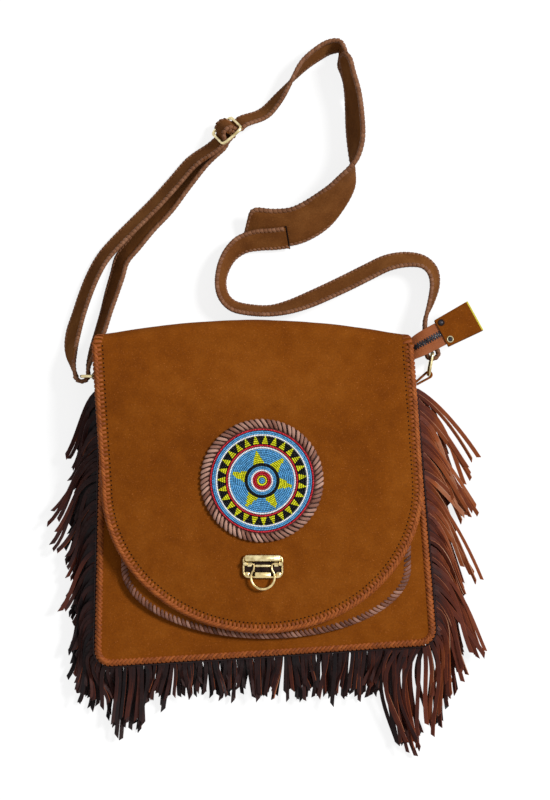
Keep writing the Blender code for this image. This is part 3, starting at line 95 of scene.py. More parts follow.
MEDALLION = Vector((-0.0027, 0.0108, 0.0))
MEDALLION_RADIUS = 0.055
MEDALLION_BASE = 0.0015
MEDALLION_TURNS = 70
MEDALLION_TURN_LEAN = 0.0048
BEAD_FIELD = 0.0468
BEAD_ROW = 0.00172
BEAD_PITCH = 0.00145
BEAD_THICKEST = 0.0019
BEAD_LONGEST = 0.0016
BEAD_SIDES = 8
WHITE_BEAD_GAIN = 1.13
BEAD_NODES = {
    "blue": ("1", "2", "3", "4"), "yellow": ("1", "star", "triangles"), "red": ("1", "2", "3"),
    "white": ("1", "2", "3"), "black": ("1", "2"),
}
STAR_START = 0.0156
BEAD_RINGS = (
    ("blue", 0.0027), ("yellow", 0.005), ("red", 0.0084), ("white", 0.0101), ("blue", 0.013),
    ("black", STAR_START), ("star", 0.0287), ("white", 0.0304), ("red", 0.0328), ("teeth", 0.04),
    ("white", 0.0417), ("blue", 0.0448), ("red", 0.047),
)
STAR_ANGLES = tuple(radians(d) for d in (-10, 46, 101, 167, 239, 297))
STAR_BASE = 0.01
STAR_TIP = 0.002
STAR_REACH = 0.0272
TEETH = 27

CLASP = Vector((-0.0018, -0.066, 0.0))
CLASP_WIDTH = 0.0367
CLASP_DEPTH = 0.0213
BAIL_WIRE = 0.0012
BAIL_PIVOT = 0.0022
BAIL_LIFT = 0.0036
BAIL_RADIUS = 0.0106
BAIL_NECK = 0.0078
BAIL_DROP = 0.012

STRAP_WIDTH = 0.024
STRAP_THICKNESS = 0.0026
STRAP_EDGE = 0.0042
PAD_WIDTH = 0.04
PAD_THICKNESS = 0.0034
PAD_LAP_OFFSET = 0.0037
PAD_CROWN = 1.15
PAD_CORNER = 0.011
PAD_TAPER = 0.07
SLIDER = Vector((-0.0345, 0.327, 0.0185))
SLIDER_ANGLE = radians(41)
SLIDER_TILT = radians(60)
SLIDER_ACROSS = 0.034
SLIDER_ALONG = 0.025
SLIDER_WIRE = 0.0014

RING_WIRE = 0.0014
RING_ACROSS = 0.0285
RING_HEIGHT = 0.0175
RING_LEFT = (-0.166, 0.1045)
RING_LEFT_REACH = 0.0125
RING_RIGHT = (0.1515, 0.1255)
RING_RIGHT_REACH = 0.02
RING_PLAY = 0.0024

ZIP_Y = 0.11
ZIP_HEIGHT = 0.018
TEETH_WIDTH = 0.0022
TEETH_SLIT = 0.0012
FACING_WIDTH = 0.0076
FACING_MOUTH_WIDTH = 0.0122
FACING_THICKNESS = 0.0016
END_TAB_LENGTH = 0.035
END_TAB_WIDTH = 0.028
END_TAB_THICKNESS = 0.0062
END_TAB_ROUND = 0.0031
TOOTH_PITCH = 0.0024
STITCH_PITCH = 0.003
EYELET_RADIUS = 0.0026

FRINGE_STAND_OFF = 0.0018
FRINGE_TOP = 0.092
FRINGE_PITCH = 0.0038
FRINGE_BAND = (0.0042, 0.0018)
# The band in the seam is near black: painted shade where the strips leave the seam
FRINGE_BAND_TONE = 0.1
CORNER_BUNCH_START = 0.112
LACE_PITCH = 0.0039
HOLE_RADIUS = 0.00065
STRAP_PITCH = 0.0037
PAD_PITCH = 0.0042

# Half the width and half the thickness of each lace
FLAP_LACE = (0.0015, 0.0005)
FLAP_CROSSING = (0.0012, 0.00045)
FRONT_LACE = (0.00145, 0.0005)
FRONT_CROSSING = (0.0012, 0.0005)
BACK_LACE = (0.0017, 0.0005)
POCKET_LACE = (0.00135, 0.00045)
MEDALLION_LACE = (0.00135, 0.0006)
STRAP_LACE_THICKNESS = 0.00036

# Light and camera
FLOOR_GREY = 0.26
FLOOR_GLOW = 0.83
SKY_ON_THE_BAG = 0.36
SUN_STRENGTH = 2.6
SUN_SOFTNESS = 14
SUN_FROM = (0.85, 0.4, 1.0)
CAMERA_PLACE = (0.009, 0.083, 4.045)
CAMERA_LENS = 200


# Materials

class Look:
    """A node material under construction, with the object's own place as its texture space."""

    def __init__(self, name):
        self.material = bpy.data.materials.new(name)
        self.material.use_nodes = True
        self.tree = self.material.node_tree
        self.shader = self.tree.nodes["Principled BSDF"]
        self.place = self.add("ShaderNodeTexCoord").outputs["Object"]

    def add(self, kind, **settings):
        made = self.tree.nodes.new(kind)
        for key, value in settings.items():
            setattr(made, key, value)
        return made

    def link(self, source, socket):
        self.tree.links.new(source, socket)

    def set(self, **values):
        for key, value in values.items():
            self.shader.inputs[key.replace("_", " ")].default_value = value

    def noise(self, scale, detail=3.0):
        made = self.add("ShaderNodeTexNoise")
        made.inputs["Scale"].default_value = scale
        made.inputs["Detail"].default_value = detail
        self.link(self.place, made.inputs["Vector"])
        return made.outputs["Fac"]

    def cells(self, scale):
        made = self.add("ShaderNodeTexVoronoi", feature="DISTANCE_TO_EDGE")
        made.inputs["Scale"].default_value = scale
        self.link(self.place, made.inputs["Vector"])
        return made.outputs["Distance"]

    def tone(self):
        return self.add("ShaderNodeAttribute", attribute_name="tone").outputs["Fac"]

    def math(self, operation, one, two):
        made = self.add("ShaderNodeMath", operation=operation)
        for socket, value in zip(made.inputs, (one, two)):
            if isinstance(value, (int, float)):
                socket.default_value = value
            else:
                self.link(value, socket)
        return made.outputs[0]

    def ramp(self, value, *stops):
        made = self.add("ShaderNodeValToRGB")
        points = made.color_ramp.elements
        while len(points) < len(stops):
            points.new(0.5)
        for point, (place, colour) in zip(points, stops):
            point.position = place
            point.color = (*colour, 1.0)
        self.link(value, made.inputs["Fac"])
        return made.outputs["Color"]

    def level(self, value, low, high, start=0.0, end=1.0):
        made = self.add("ShaderNodeMapRange")
        for key, number in (("From Min", low), ("From Max", high), ("To Min", start), ("To Max", end)):
            made.inputs[key].default_value = number
        self.link(value, made.inputs["Value"])
        return made.outputs["Result"]

    def mix(self, amount, one, two, blend="MIX"):
        made = self.add("ShaderNodeMix", data_type="RGBA", blend_type=blend)
        for key, value in (("Factor", amount), ("A", one), ("B", two)):
            socket = next(s for s in made.inputs if s.name == key and s.enabled)
            if isinstance(value, tuple):
                socket.default_value = (*value, 1.0)
            elif isinstance(value, (int, float)):
                socket.default_value = value
            else:
                self.link(value, socket)
        return next(s for s in made.outputs if s.enabled)

    def bump(self, *layers):
        """Each layer is a height, its strength and its depth in metres."""
        last = None
        for height, strength, depth in layers:
            made = self.add("ShaderNodeBump")
            made.inputs["Strength"].default_value = strength
            made.inputs["Distance"].default_value = depth
            self.link(height, made.inputs["Height"])
            if last:
                self.link(last, made.inputs["Normal"])
            last = made.outputs["Normal"]
        self.link(last, self.shader.inputs["Normal"])

    def colour(self, source):
        self.link(source, self.shader.inputs["Base Color"])

    def rough(self, source, low, high):
        self.link(self.level(source, 0.3, 0.7, low, high), self.shader.inputs["Roughness"])

    def shade(self, scale, detail, amount):
        """The tone of each strip or stitch, varied a little along it."""
        swing = self.math("SUBTRACT", self.noise(scale, detail), 0.5)
        return self.math("ADD", self.tone(), self.math("MULTIPLY", swing, amount))

    def grain(self, specular):
        """The fine cells and soft dents of smooth hide."""
        self.set(Specular_IOR_Level=specular)
        self.bump((self.cells(900), 0.2, 0.0002), (self.noise(180, 3.0), 0.25, 0.0005))


def stronger(colour, gain, lift=0.0):
    return tuple(min(1.0, gain * c + lift) for c in colour)


def suede(name, dark, middle, light, fleck=0.35):
    """Brushed leather: soft patches, a short nap and fine pale flecks."""
    look = Look(name)
    large = look.math("MULTIPLY", look.noise(14, 3.0), 0.55)
    small = look.math("MULTIPLY", look.noise(75, 4.0), 0.45)
    base = look.ramp(look.math("ADD", large, small), (0.33, dark), (0.5, middle), (0.68, light))
    nap = look.noise(650, 4.0)
    nap_shade = look.ramp(nap, (0.32, (0.55, 0.5, 0.45)), (0.7, (1.35, 1.35, 1.4)))
    spots = look.level(look.noise(1050, 1.0), 0.66, 0.74, 0.0, fleck)
    look.colour(look.mix(spots, look.mix(0.3, base, nap_shade, "MULTIPLY"), stronger(light, 2.2, 0.04)))
    look.rough(nap, 0.82, 0.98)
    look.set(Sheen_Weight=0.04, Sheen_Roughness=0.45, Sheen_Tint=(1.0, 0.72, 0.45, 1.0))
    look.set(Specular_IOR_Level=0.06)
    look.bump((look.noise(60, 3.0), 0.25, 0.001), (nap, 0.35, 0.0003))
    return look.material


def smooth_leather(name, dark, middle, light, roughness):
    """Grained hide with a dull shine and worn, paler spots."""
    look = Look(name)
    base = look.ramp(look.shade(120, 4.0, 0.55), (0.0, dark), (0.5, middle), (1.0, light))
    worn = look.level(look.noise(900, 2.0), 0.55, 0.75, 0.0, 0.25)
    look.colour(look.mix(worn, base, stronger(light, 1.5, 0.02)))
    look.rough(look.noise(260, 2.0), roughness - 0.08, roughness + 0.12)
    look.grain(0.2)
    return look.material


def fringe_hide(name, *shades):
    """Cut strips: dark maroon to terracotta on the face, and pale along the cut edge. The tones that pick
    these colours carry painted shade, and the pale edge is partly a painted highlight.
    """
    look = Look(name)
    look.colour(look.ramp(look.shade(90, 3.0, 0.22), *shades))
    look.rough(look.noise(260, 2.0), 0.5, 0.68)
    look.grain(0.16)
    return look.material


def metal(name, bright, dull, roughness):
    """Aged plate: bright where it is rubbed, brown in its patches."""
    look = Look(name)
    worn = look.noise(160, 4.0)
    look.colour(look.ramp(worn, (0.34, dull), (0.56, bright), (0.8, stronger(bright, 1.15))))
    look.rough(look.noise(420, 3.0), roughness, roughness + 0.2)
    look.set(Metallic=1.0)
    look.bump((look.noise(700, 3.0), 0.12, 0.0001))
    return look.material


def glass_beads(name, colour, darkest=0.6):
    """Opaque glass, each bead a little lighter or darker than the next."""
    look = Look(name)
    shade = look.math("ADD", look.tone(), look.math("MULTIPLY", look.noise(900, 2.0), 0.15))
    dark, light = stronger(colour, darkest), stronger(colour, 1.3, 0.01)
    look.colour(look.ramp(shade, (0.1, dark), (0.55, colour), (1.0, light)))
    look.rough(look.noise(1500, 2.0), 0.2, 0.32)
    look.set(Specular_IOR_Level=0.18)
    look.bump((look.noise(2600, 1.0), 0.06, 0.0001))
    return look.material


# Each look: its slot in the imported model, its maker, the material's name, and the maker's other values
LOOKS = {
    "suede": (
        "suede", suede, "tan_suede",
        (0.172, 0.042, 0.0026), (0.216, 0.056, 0.0036), (0.258, 0.073, 0.0062),
    ),
    # Near black: painted shade in the lace holes, in the gaps between the beads and along the short strap's
    # end
    "hole": (
        "suede", suede, "punched_hole",
        (0.006, 0.003, 0.002), (0.01, 0.004, 0.003), (0.016, 0.007, 0.004), 0.0,
    ),
    "strap": (
        "strap_leather", suede, "strap_suede",
        (0.125, 0.04, 0.009), (0.185, 0.064, 0.0145), (0.245, 0.094, 0.024), 0.25,
    ),
    "orange_lace": (
        "orange_lace", smooth_leather, "orange_lace",
        (0.07, 0.014, 0.003), (0.27, 0.064, 0.0095), (0.4, 0.11, 0.02), 0.6,
    ),
    "mauve_lace": (
        "mauve_lace", smooth_leather, "mauve_lace",
        (0.04, 0.012, 0.008), (0.215, 0.088, 0.058), (0.5, 0.285, 0.215), 0.58,
    ),
    "strap_lace": (
        "mauve_lace", smooth_leather, "strap_lace",
        (0.12, 0.044, 0.018), (0.205, 0.083, 0.036), (0.32, 0.155, 0.085), 0.6,
    ),
    "facing": (
        "facing_leather", smooth_leather, "zip_hide",
        (0.21, 0.056, 0.015), (0.31, 0.088, 0.026), (0.4, 0.13, 0.045), 0.58,
    ),
    "tab_edge": (
        "facing_leather", smooth_leather, "tab_edge",
        (0.4, 0.32, 0.025), (0.58, 0.5, 0.045), (0.7, 0.64, 0.09), 0.6,
    ),
    "tape": (
        "black_metal", smooth_leather, "zip_tape",
        (0.006, 0.005, 0.006), (0.012, 0.01, 0.011), (0.022, 0.018, 0.019), 0.75,
    ),
    # The near-black low stops of the fringe are reached through the painted shade in the strips' tones
    "fringe": (
        "fringe_leather", fringe_hide, "fringe_hide",
        (0.0, (0.004, 0.0015, 0.002)), (0.2, (0.024, 0.006, 0.005)), (0.46, (0.115, 0.024, 0.011)),
        (0.72, (0.31, 0.078, 0.021)), (1.0, (0.48, 0.29, 0.19)),
    ),
    "brass": ("brass", metal, "aged_brass", (0.72, 0.57, 0.28), (0.26, 0.18, 0.075), 0.2),
    "bright_brass": ("brass", metal, "rubbed_brass", (0.8, 0.68, 0.38), (0.42, 0.32, 0.14), 0.18),
    "dark_brass": ("brass", metal, "brass_shadow", (0.03, 0.018, 0.014), (0.01, 0.006, 0.006), 0.55),
    "aged_steel": ("brass", metal, "eyelet_metal", (0.46, 0.42, 0.26), (0.26, 0.22, 0.12), 0.4),
    "black_metal": ("black_metal", metal, "black_metal", (0.05, 0.045, 0.05), (0.014, 0.012, 0.014), 0.34),
    "blue": ("beads_blue", glass_beads, "blue_beads", (0.115, 0.4, 0.72)),
    "red": ("beads_red", glass_beads, "red_beads", (0.56, 0.018, 0.036)),
    "white": ("beads_white", glass_beads, "white_beads", (0.93, 0.95, 0.98), 0.8),
    "yellow": ("beads_yellow", glass_beads, "yellow_beads", (0.74, 0.74, 0.014), 0.7),
    "black": ("beads_black", glass_beads, "black_beads", (0.004, 0.004, 0.006)),
}
MATERIALS = {key: maker(*values) for key, (_, maker, *values) in LOOKS.items()}


# Points and directions

def circle(sides, radius=1.0):
    turns = [2 * pi * k / sides for k in range(sides)]
    return [(radius * cos(a), radius * sin(a)) for a in turns]


def at(p, z):
    """The point over or under p at this height."""
    return Vector((p.x, p.y, z))


def heading(angle):
    """A level direction, from its angle to +X."""
    return Vector((cos(angle), sin(angle), 0.0))


def left_of(ahead):
    return Vector((-ahead.y, ahead.x, 0.0))


def axes(ahead, across, normal):
    return Matrix((ahead, across, normal)).transposed().to_4x4()


def moved(place, x=0.0, y=0.0, z=0.0):
    return place @ Matrix.Translation((x, y, z))


def each(value, count):
    """A list as it is, or one value for each of count places."""
    return value if isinstance(value, list) else [value] * count


# Mesh building

LACE_SECTION = ((1, 0), (0.7, 1), (-0.7, 1), (-1, 0), (-0.7, -0.6), (0.7, -0.6))
ROUND_SECTION = circle(12)
WIRE_SECTION = circle(10)
LIES_SIDEWAYS = Matrix.Rotation(pi / 2, 4, "Y")


class Build:
    """Points and faces of one piece. Its tone is a number for each point, read by the materials."""

    def __init__(self, name):
        self.name = name
        self.points = []
        self.faces = []
        self.tones = []

    def rings(self, rings, tone=0.5, cyclic=False):
        """Joined rings of points. The tone is a number, a list for a ring's points, or one for each ring."""
        start = len(self.points)
        count = len(rings[0])
        for ring in rings:
            self.points.extend(ring)
        tones = each(tone, count)
        if not isinstance(tones[0], list):
            tones = [tones] * len(rings)
        for line in tones:
            self.tones.extend(line)
        last = len(rings) if cyclic else len(rings) - 1
        for r in range(last):
            low, high = start + r * count, start + (r + 1) % len(rings) * count
            for i in range(count):
                j = (i + 1) % count
                self.faces.append((low + i, low + j, high + j, high + i))
        if not cyclic:
            self.faces.append(tuple(range(start + count - 1, start - 1, -1)))
            self.faces.append(tuple(range(start + (len(rings) - 1) * count, start + len(rings) * count)))

    def ribbon(self, places, across, width, thick, section=LACE_SECTION, tone=0.5, cyclic=False):
        """A band along places. Direction across, half width and half thickness are one value or a list."""
        count = len(places)
        acrosses, widths, thicks = each(across, count), each(width, count), each(thick, count)
        rings = []
        aheads = tangents(places, cyclic)
        for place, ahead, across, width, thick in zip(places, aheads, acrosses, widths, thicks):
            across = (across - ahead * across.dot(ahead)).normalized()
            through = across.cross(ahead)
            rings.append([place + across * (a * width) + through * (b * thick) for a, b in section])
        self.rings(rings, tone, cyclic)

    def tube(self, places, radius, tone=0.5, cyclic=False, section=WIRE_SECTION):
        places = [Vector(p) for p in places]
        across = None
        acrosses = []
        for ahead in tangents(places, cyclic):
            if across is None:
                across = ahead.orthogonal()
            across = (across - ahead * across.dot(ahead)).normalized()
            acrosses.append(across)
        self.ribbon(places, acrosses, radius, radius, section, tone, cyclic)

    def slab(self, place, loops, tone=0.5):
        """A solid through loops of x, y, z in its own frame, set at place."""
        self.rings([[place @ Vector(p) for p in loop] for loop in loops], tone)

    def lathe(self, place, profile, sides=20, tone=0.5):
        """A solid of revolution about its own Z through radius, height pairs."""
        self.slab(place, [[(x, y, z) for x, y in circle(sides, r)] for r, z in profile], tone)

    def shell(self, grid, thickness, rim=0.35):
        """A sheet with a rounded edge, from rows of points in the middle of its thickness."""
        rows, columns = len(grid), len(grid[0])
        start = len(self.points)
        normals = grid_normals(grid)
        for sign in (1, -1):
            for row, across in zip(grid, normals):
                self.points.extend(p + n * sign * thickness / 2 for p, n in zip(row, across))
        sheet = rows * columns
        for sign in (0, 1):
            for r in range(rows - 1):
                for c in range(columns - 1):
                    a = start + sign * sheet + r * columns + c
                    face = (a, a + columns, a + columns + 1, a + 1)
                    self.faces.append(face if sign == 0 else face[::-1])
        border = [(0, c) for c in range(columns)] + [(r, columns - 1) for r in range(1, rows)]
        border += [(rows - 1, c) for c in range(columns - 2, -1, -1)]
        border += [(r, 0) for r in range(rows - 2, 0, -1)]
        line = [grid[r][c] for r, c in border]
        ring = len(self.points)
        for (r, c), ahead in zip(border, tangents(line, True)):
            self.points.append(grid[r][c] + ahead.cross(normals[r][c]).normalized() * thickness * rim)
        count = len(border)
        for i in range(count):
            j = (i + 1) % count
            one, two = border[i][0] * columns + border[i][1], border[j][0] * columns + border[j][1]
            self.faces.append((start + one, start + two, ring + j, ring + i))
            self.faces.append((ring + i, ring + j, start + sheet + two, start + sheet + one))
        self.tones.extend([0.5] * (2 * sheet + count))

    def finish(self, look, body, replaces=(), sharp=50):
        data = bpy.data.meshes.new(self.name)
        data.from_pydata([tuple(p) for p in self.points], [], self.faces)
        tones = data.attributes.new("tone", "FLOAT", "POINT")
        tones.data.foreach_set("value", self.tones)
        bm = bmesh.new()
        bm.from_mesh(data)
        bmesh.ops.recalc_face_normals(bm, faces=bm.faces)
        bm.to_mesh(data)
        bm.free()
        data.materials.append(MATERIALS[look])
        data.shade_smooth()
        data.set_sharp_from_angle(angle=radians(sharp))
        obj = bpy.data.objects.new(self.name, data)
        bpy.context.scene.collection.objects.link(obj)
        if replaces:
            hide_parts(*replaces)
        if body:
            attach(obj, body)
        return obj


def grid_normals(grid):
    rows, columns = len(grid), len(grid[0])
    found = []
    for r in range(rows):
        line = []
        for c in range(columns):
            along = grid[min(r + 1, rows - 1)][c] - grid[max(r - 1, 0)][c]
            across = grid[r][min(c + 1, columns - 1)] - grid[r][max(c - 1, 0)]
            line.append(along.cross(across).normalized())
        found.append(line)
    return found


def tangents(points, cyclic=False):
    count = len(points)
    found = []
    for i in range(count):
        before = points[(i - 1) % count] if cyclic else points[max(i - 1, 0)]
        after = points[(i + 1) % count] if cyclic else points[min(i + 1, count - 1)]
        found.append((after - before).normalized())
    return found


def smooth(points, steps):
    """A curve through the points, each a row of numbers."""
    ends = [points[0], *points, points[-1]]
    made = []
    for a, b, c, d in zip(ends, ends[1:], ends[2:], ends[3:]):
        for k in range(steps):
            t = k / steps
            made.append(tuple(
                0.5 * (
                    2 * q + (r - p) * t + (2 * p - 5 * q + 4 * r - s) * t * t
                    + (3 * q - p - 3 * r + s) * t ** 3
                )
                for p, q, r, s in zip(a, b, c, d)
            ))
    return [*made, tuple(points[-1])]


def evenly(points, pitch):
    """Places and directions along a line, a pitch apart, starting half a pitch in."""
    lengths = [(b - a).length for a, b in zip(points, points[1:])]
    total = sum(lengths)
    count = max(1, int(total / pitch))
    directions = tangents(points)
    found = []
    i = 0
    done = 0.0
    for k in range(count):
        target = (k + 0.5) * total / count
        while i < len(lengths) - 1 and done + lengths[i] < target:
            done += lengths[i]
            i += 1
        t = (target - done) / lengths[i]
        ahead = directions[i].lerp(directions[i + 1], t).normalized()
        found.append((points[i].lerp(points[i + 1], t), ahead))
    return found


def lerp(a, b, t):
    return a + (b - a) * t


def eased(t):
    t = min(1.0, max(0.0, t))
    return t * t * (3 - 2 * t)


def ripple(x, y, size, seed=0.0):
    """Soft noise between about -1 and 1 over patches of this size."""
    return noise.noise(Vector((x / size, y / size, seed)))


def rounded_loop(width, depth, corner, z, steps=5):
    loop = []
    for quarter, (sx, sy) in enumerate(((1, 1), (-1, 1), (-1, -1), (1, -1))):
        for k in range(steps):
            angle = pi / 2 * (quarter + k / (steps - 1))
            x = sx * (width / 2 - corner) + corner * cos(angle)
            loop.append((x, sy * (depth / 2 - corner) + corner * sin(angle), z))
    return loop


def rounded_slab(width, depth, corner, low, high, bevel):
    """Loops of a plate with rounded corners and softened edges."""
    small = max(corner - bevel, bevel * 0.5)
    inner = (width - 2 * bevel, depth - 2 * bevel, small)
    return [
        rounded_loop(*inner, low), rounded_loop(width, depth, corner, low + bevel),
        rounded_loop(width, depth, corner, high - bevel), rounded_loop(*inner, high),
    ]


# The bag's surfaces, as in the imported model

def body_middle(t):
    return lerp(BODY_TOP_SHIFT, BODY_BOTTOM_SHIFT, t)


def body_half_width(t):
    return lerp(BODY_TOP_WIDTH, BODY_BOTTOM_WIDTH, t) / 2


def body_bottom(u):
    return BODY_BOTTOM + BOTTOM_SLANT * u


def body_point(u, t):
    return Vector((body_middle(t) + u * body_half_width(t), lerp(BODY_TOP, body_bottom(u), t), 0.0))


def body_edge(steps=40):
    corner_steps = 8
    length = BODY_TOP - BODY_BOTTOM
    straight = 1 - BODY_CORNER / length
    side = [(-1.0, straight * k / steps) for k in range(steps)]
    for k in range(corner_steps + 1):
        angle = pi / 2 * k / corner_steps
        drop, cut = BODY_CORNER * (1 - sin(angle)), BODY_CORNER * (1 - cos(angle))
        side.append((-(1 - cut / body_half_width(1.0)), 1 - drop / length))
    reach = -side[-1][0]
    bottom = [(reach * (2 * k / steps - 1), 1.0) for k in range(1, steps)]
    return [body_point(u, t) for u, t in side + bottom + [(-u, t) for u, t in reversed(side)]]


def outward(points, distance):
    return [p - left_of(d) * distance for p, d in zip(points, tangents(points))]


def front_height(x, y):
    """The inner face of the front panel."""
    t = (BODY_TOP - y) / (BODY_TOP - BODY_BOTTOM)
    u = (x - body_middle(t)) / body_half_width(t)
    t = (BODY_TOP - y) / (BODY_TOP - body_bottom(u))
    return SEAM_HEIGHT + FRONT_CROWN * max(0.0, 1 - abs(2 * t - 1) ** 4) * max(0.0, 1 - abs(u) ** 4)


def pocket_share(x, y):
    below = max(0.0, POCKET_ROUND_START - y) / POCKET_ROUND
    return hypot((x - POCKET_CENTRE) / POCKET_HALF_WIDTH, below)


def pocket_height(x, y):
    crown = POCKET_CROWN * max(0.0, 1 - pocket_share(x, y) ** 4)
    return front_height(x, y) + SUEDE + 2 * GAP + POCKET_DEPTH + crown


def flap_round_start():
    return HINGE_Y - FLAP_LENGTH + FLAP_ROUND


def flap_middle(y):
    return FLAP_CENTRE + FLAP_LEAN * max(0.0, y - flap_round_start())


def flap_share(x, y):
    below = max(0.0, flap_round_start() - y) / FLAP_ROUND
    return hypot((x - flap_middle(y)) / FLAP_HALF_WIDTH, below)


def flap_height(x, y):
    """The flap's inner face, with the soft waves of the hide away from the medallion and the clasp."""
    t = eased((HINGE_Y - y) / FLAP_RAMP)
    crown = FLAP_CROWN * max(0.0, 1 - flap_share(x, y) ** 3)
    place = Vector((x, y, 0.0))
    clear = eased(((place - MEDALLION).length - 0.058) / 0.03)
    clear *= eased(((place - CLASP).length - 0.022) / 0.02)
    wave = 0.0007 * ripple(x, y, 0.055) + 0.0003 * ripple(x, y, 0.022, 4.0)
    wave *= clear * eased((HINGE_Y - y) / 0.03)
    return HINGE_HEIGHT + (FLAP_EDGE_HEIGHT - HINGE_HEIGHT + crown) * t + wave


def flap_top(x, y):
    return flap_height(x, y) + FLAP_THICKNESS


def sheet_rows(half_width, middle, top, round_start, reach, straight_rows, round_rows, columns):
    """Rows of x, y over a sheet with straight sides and a half-oval end."""
    rows = []
    for k in range(straight_rows):
        y = lerp(top, round_start, k / straight_rows)
        rows.append([(middle(y) + half_width * (2 * i / columns - 1), y) for i in range(columns + 1)])
    for k in range(round_rows + 1):
        angle = radians(80) * k / round_rows
        row = []
        for i in range(columns + 1):
            x = half_width * cos(angle) * (2 * i / columns - 1)
            on_edge = reach * sqrt(1 - (x / half_width) ** 2)
            y = round_start - lerp(reach * sin(angle), on_edge, (k / round_rows) ** 3)
            row.append((middle(y) + x, y))
        rows.append(row)
    return rows


def sheet_line(half_width, middle, top, round_start, reach, inset, steps):
    """The line down a sheet's left side, round its end and up its right side, moved in from its edge."""
    width, depth = half_width - inset, reach - inset
    side = [(-width, lerp(top, round_start, k / steps)) for k in range(steps)]
    turns = [pi * k / (3 * steps) for k in range(3 * steps + 1)]
    arc = [(-width * cos(a), round_start - depth * sin(a)) for a in turns]
    return [Vector((middle(y) + x, y, 0.0)) for x, y in side + arc + [(-x, y) for x, y in reversed(side)]]


def pocket_middle(_):
    return POCKET_CENTRE


FLAP_SHAPE = (FLAP_HALF_WIDTH, flap_middle, HINGE_Y, flap_round_start(), FLAP_ROUND)
POCKET_SHAPE = (POCKET_HALF_WIDTH, pocket_middle, POCKET_TOP, POCKET_ROUND_START, POCKET_ROUND)


# Lacing

def wrap(build, spot, path, lace, tone):
    """One turn of lace. A path point is how far in from the rim, how high, and how far along."""
    rim, ahead, inward, normal = spot
    width, thick = lace
    places = [rim + inward * i + normal * u + ahead * a for i, u, a in smooth(path, 2)]
    count = len(places)
    widths = [width * min(1.0, 0.55 + 1.6 * min(k, count - 1 - k) / count) for k in range(count)]
    build.ribbon(places, ahead, widths, thick, tone=tone)


def out_of_the_front(front, half, rise, slant, edge):
    """The first half of a turn of lace, from its hole in the front to the rim."""
    return (
        (front, half - 0.0006, -slant / 2), (front * 0.82, half + rise, -slant * 0.42),
        (front * 0.4, half + rise * 1.25, -slant * 0.1), (edge, half + rise * 0.7, slant * 0.25),
    )


def over_the_rim(front, back, half, rise, slant):
    """The path of lace from a hole in the front, round the rim, to a hole in the back."""
    return out_of_the_front(front, half, rise, slant, 0.0004) + (
        (-rise * 1.1, 0.0, slant / 2), (0.0004, -half - rise * 0.7, slant * 0.45),
        (back * 0.6, -half - rise, slant * 0.2), (back, -half + 0.0004, 0.0),
    )


def down_the_side(front, drop, half, rise, slant):
    """The path of lace from a hole in the front panel, over the corner, to a hole in the gusset."""
    return out_of_the_front(front, half, rise, slant, 0.0003) + (
        (-rise * 1.2, 0.0, slant / 2), (-rise, -drop * 0.6, slant * 0.5), (0.0006, -drop, slant * 0.3),
    )


def surface_spots(line, height, reach, pitch):
    """Rim places with their direction, the way in over the surface, and the surface's normal."""
    def lifted(p):
        return at(p, height(p.x, p.y))

    found = []
    for place, ahead in evenly(line, pitch):
        rim = lifted(place)
        inward = (lifted(place + left_of(ahead) * reach) - rim).normalized()
        ahead = (lifted(place + ahead * 0.002) - rim).normalized()
        found.append((rim, ahead, inward, inward.cross(ahead) * -1))
    return found


def tone(low, high):
    return RANDOM.uniform(low, high)


def hole_dots(build, spots, inset, half):
    """Flat dark dots where the lace goes through the hide: painted shade inside each hole."""
    for rim, ahead, inward, normal in spots:
        place = rim + inward * inset + normal * (half + 0.00005)
        ring = [place + ahead * (a * 1.15) + inward * b for a, b in circle(8, HOLE_RADIUS)]
        build.rings([[p + normal * h for p in ring] for h in (-0.0004, 0.00012)])


def make_flap_lacing():
    """A braided edge: wraps round the rim, crossed on the front by short turns that slant the other way."""
    half = FLAP_THICKNESS / 2
    spots = surface_spots(
        sheet_line(*FLAP_SHAPE, 0.0, 60), lambda x, y: flap_height(x, y) + half, 0.007, LACE_PITCH,
    )
    spots = [spot for spot in spots if spot[0].y < HINGE_Y - 0.001]
    around = over_the_rim(0.0078, 0.0055, half, 0.0006, LACE_PITCH * 0.35)
    crossing = (
        (0.0044, half + 0.0006, LACE_PITCH * 0.8), (0.003, half + 0.0017, LACE_PITCH * 0.35),
        (0.0012, half + 0.0016, -LACE_PITCH * 0.3), (-0.0006, half * 0.4, -LACE_PITCH * 0.8),
    )
    build = Build("flap_lacing_turns")
    for spot in spots:
        wrap(build, spot, around, FLAP_LACE, tone(0.3, 0.72))
        wrap(build, spot, crossing, FLAP_CROSSING, tone(0.4, 0.85))
    build.finish("orange_lace", "flap", ["flap_lacing"])
    fold = Build("fold_lacing_turns")
    for side in (-1, 1):
        line = [fold_edge(side, k / 30) for k in range(10, 31)][::-side]
        for rim, ahead in evenly(line, LACE_PITCH):
            inward = Vector((-side, 0.0, 0.0))
            inward = (inward - ahead * inward.dot(ahead)).normalized()
            wrap(fold, (rim, ahead, inward, ahead.cross(inward)), around, FLAP_LACE, tone(0.3, 0.72))
    blend_over_the_fold(fold.finish("orange_lace", None))
    holes = Build("flap_lace_holes")
    hole_dots(holes, spots, 0.009, half)
    holes.finish("hole", "flap")


def blend_over_the_fold(obj):
    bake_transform(obj)


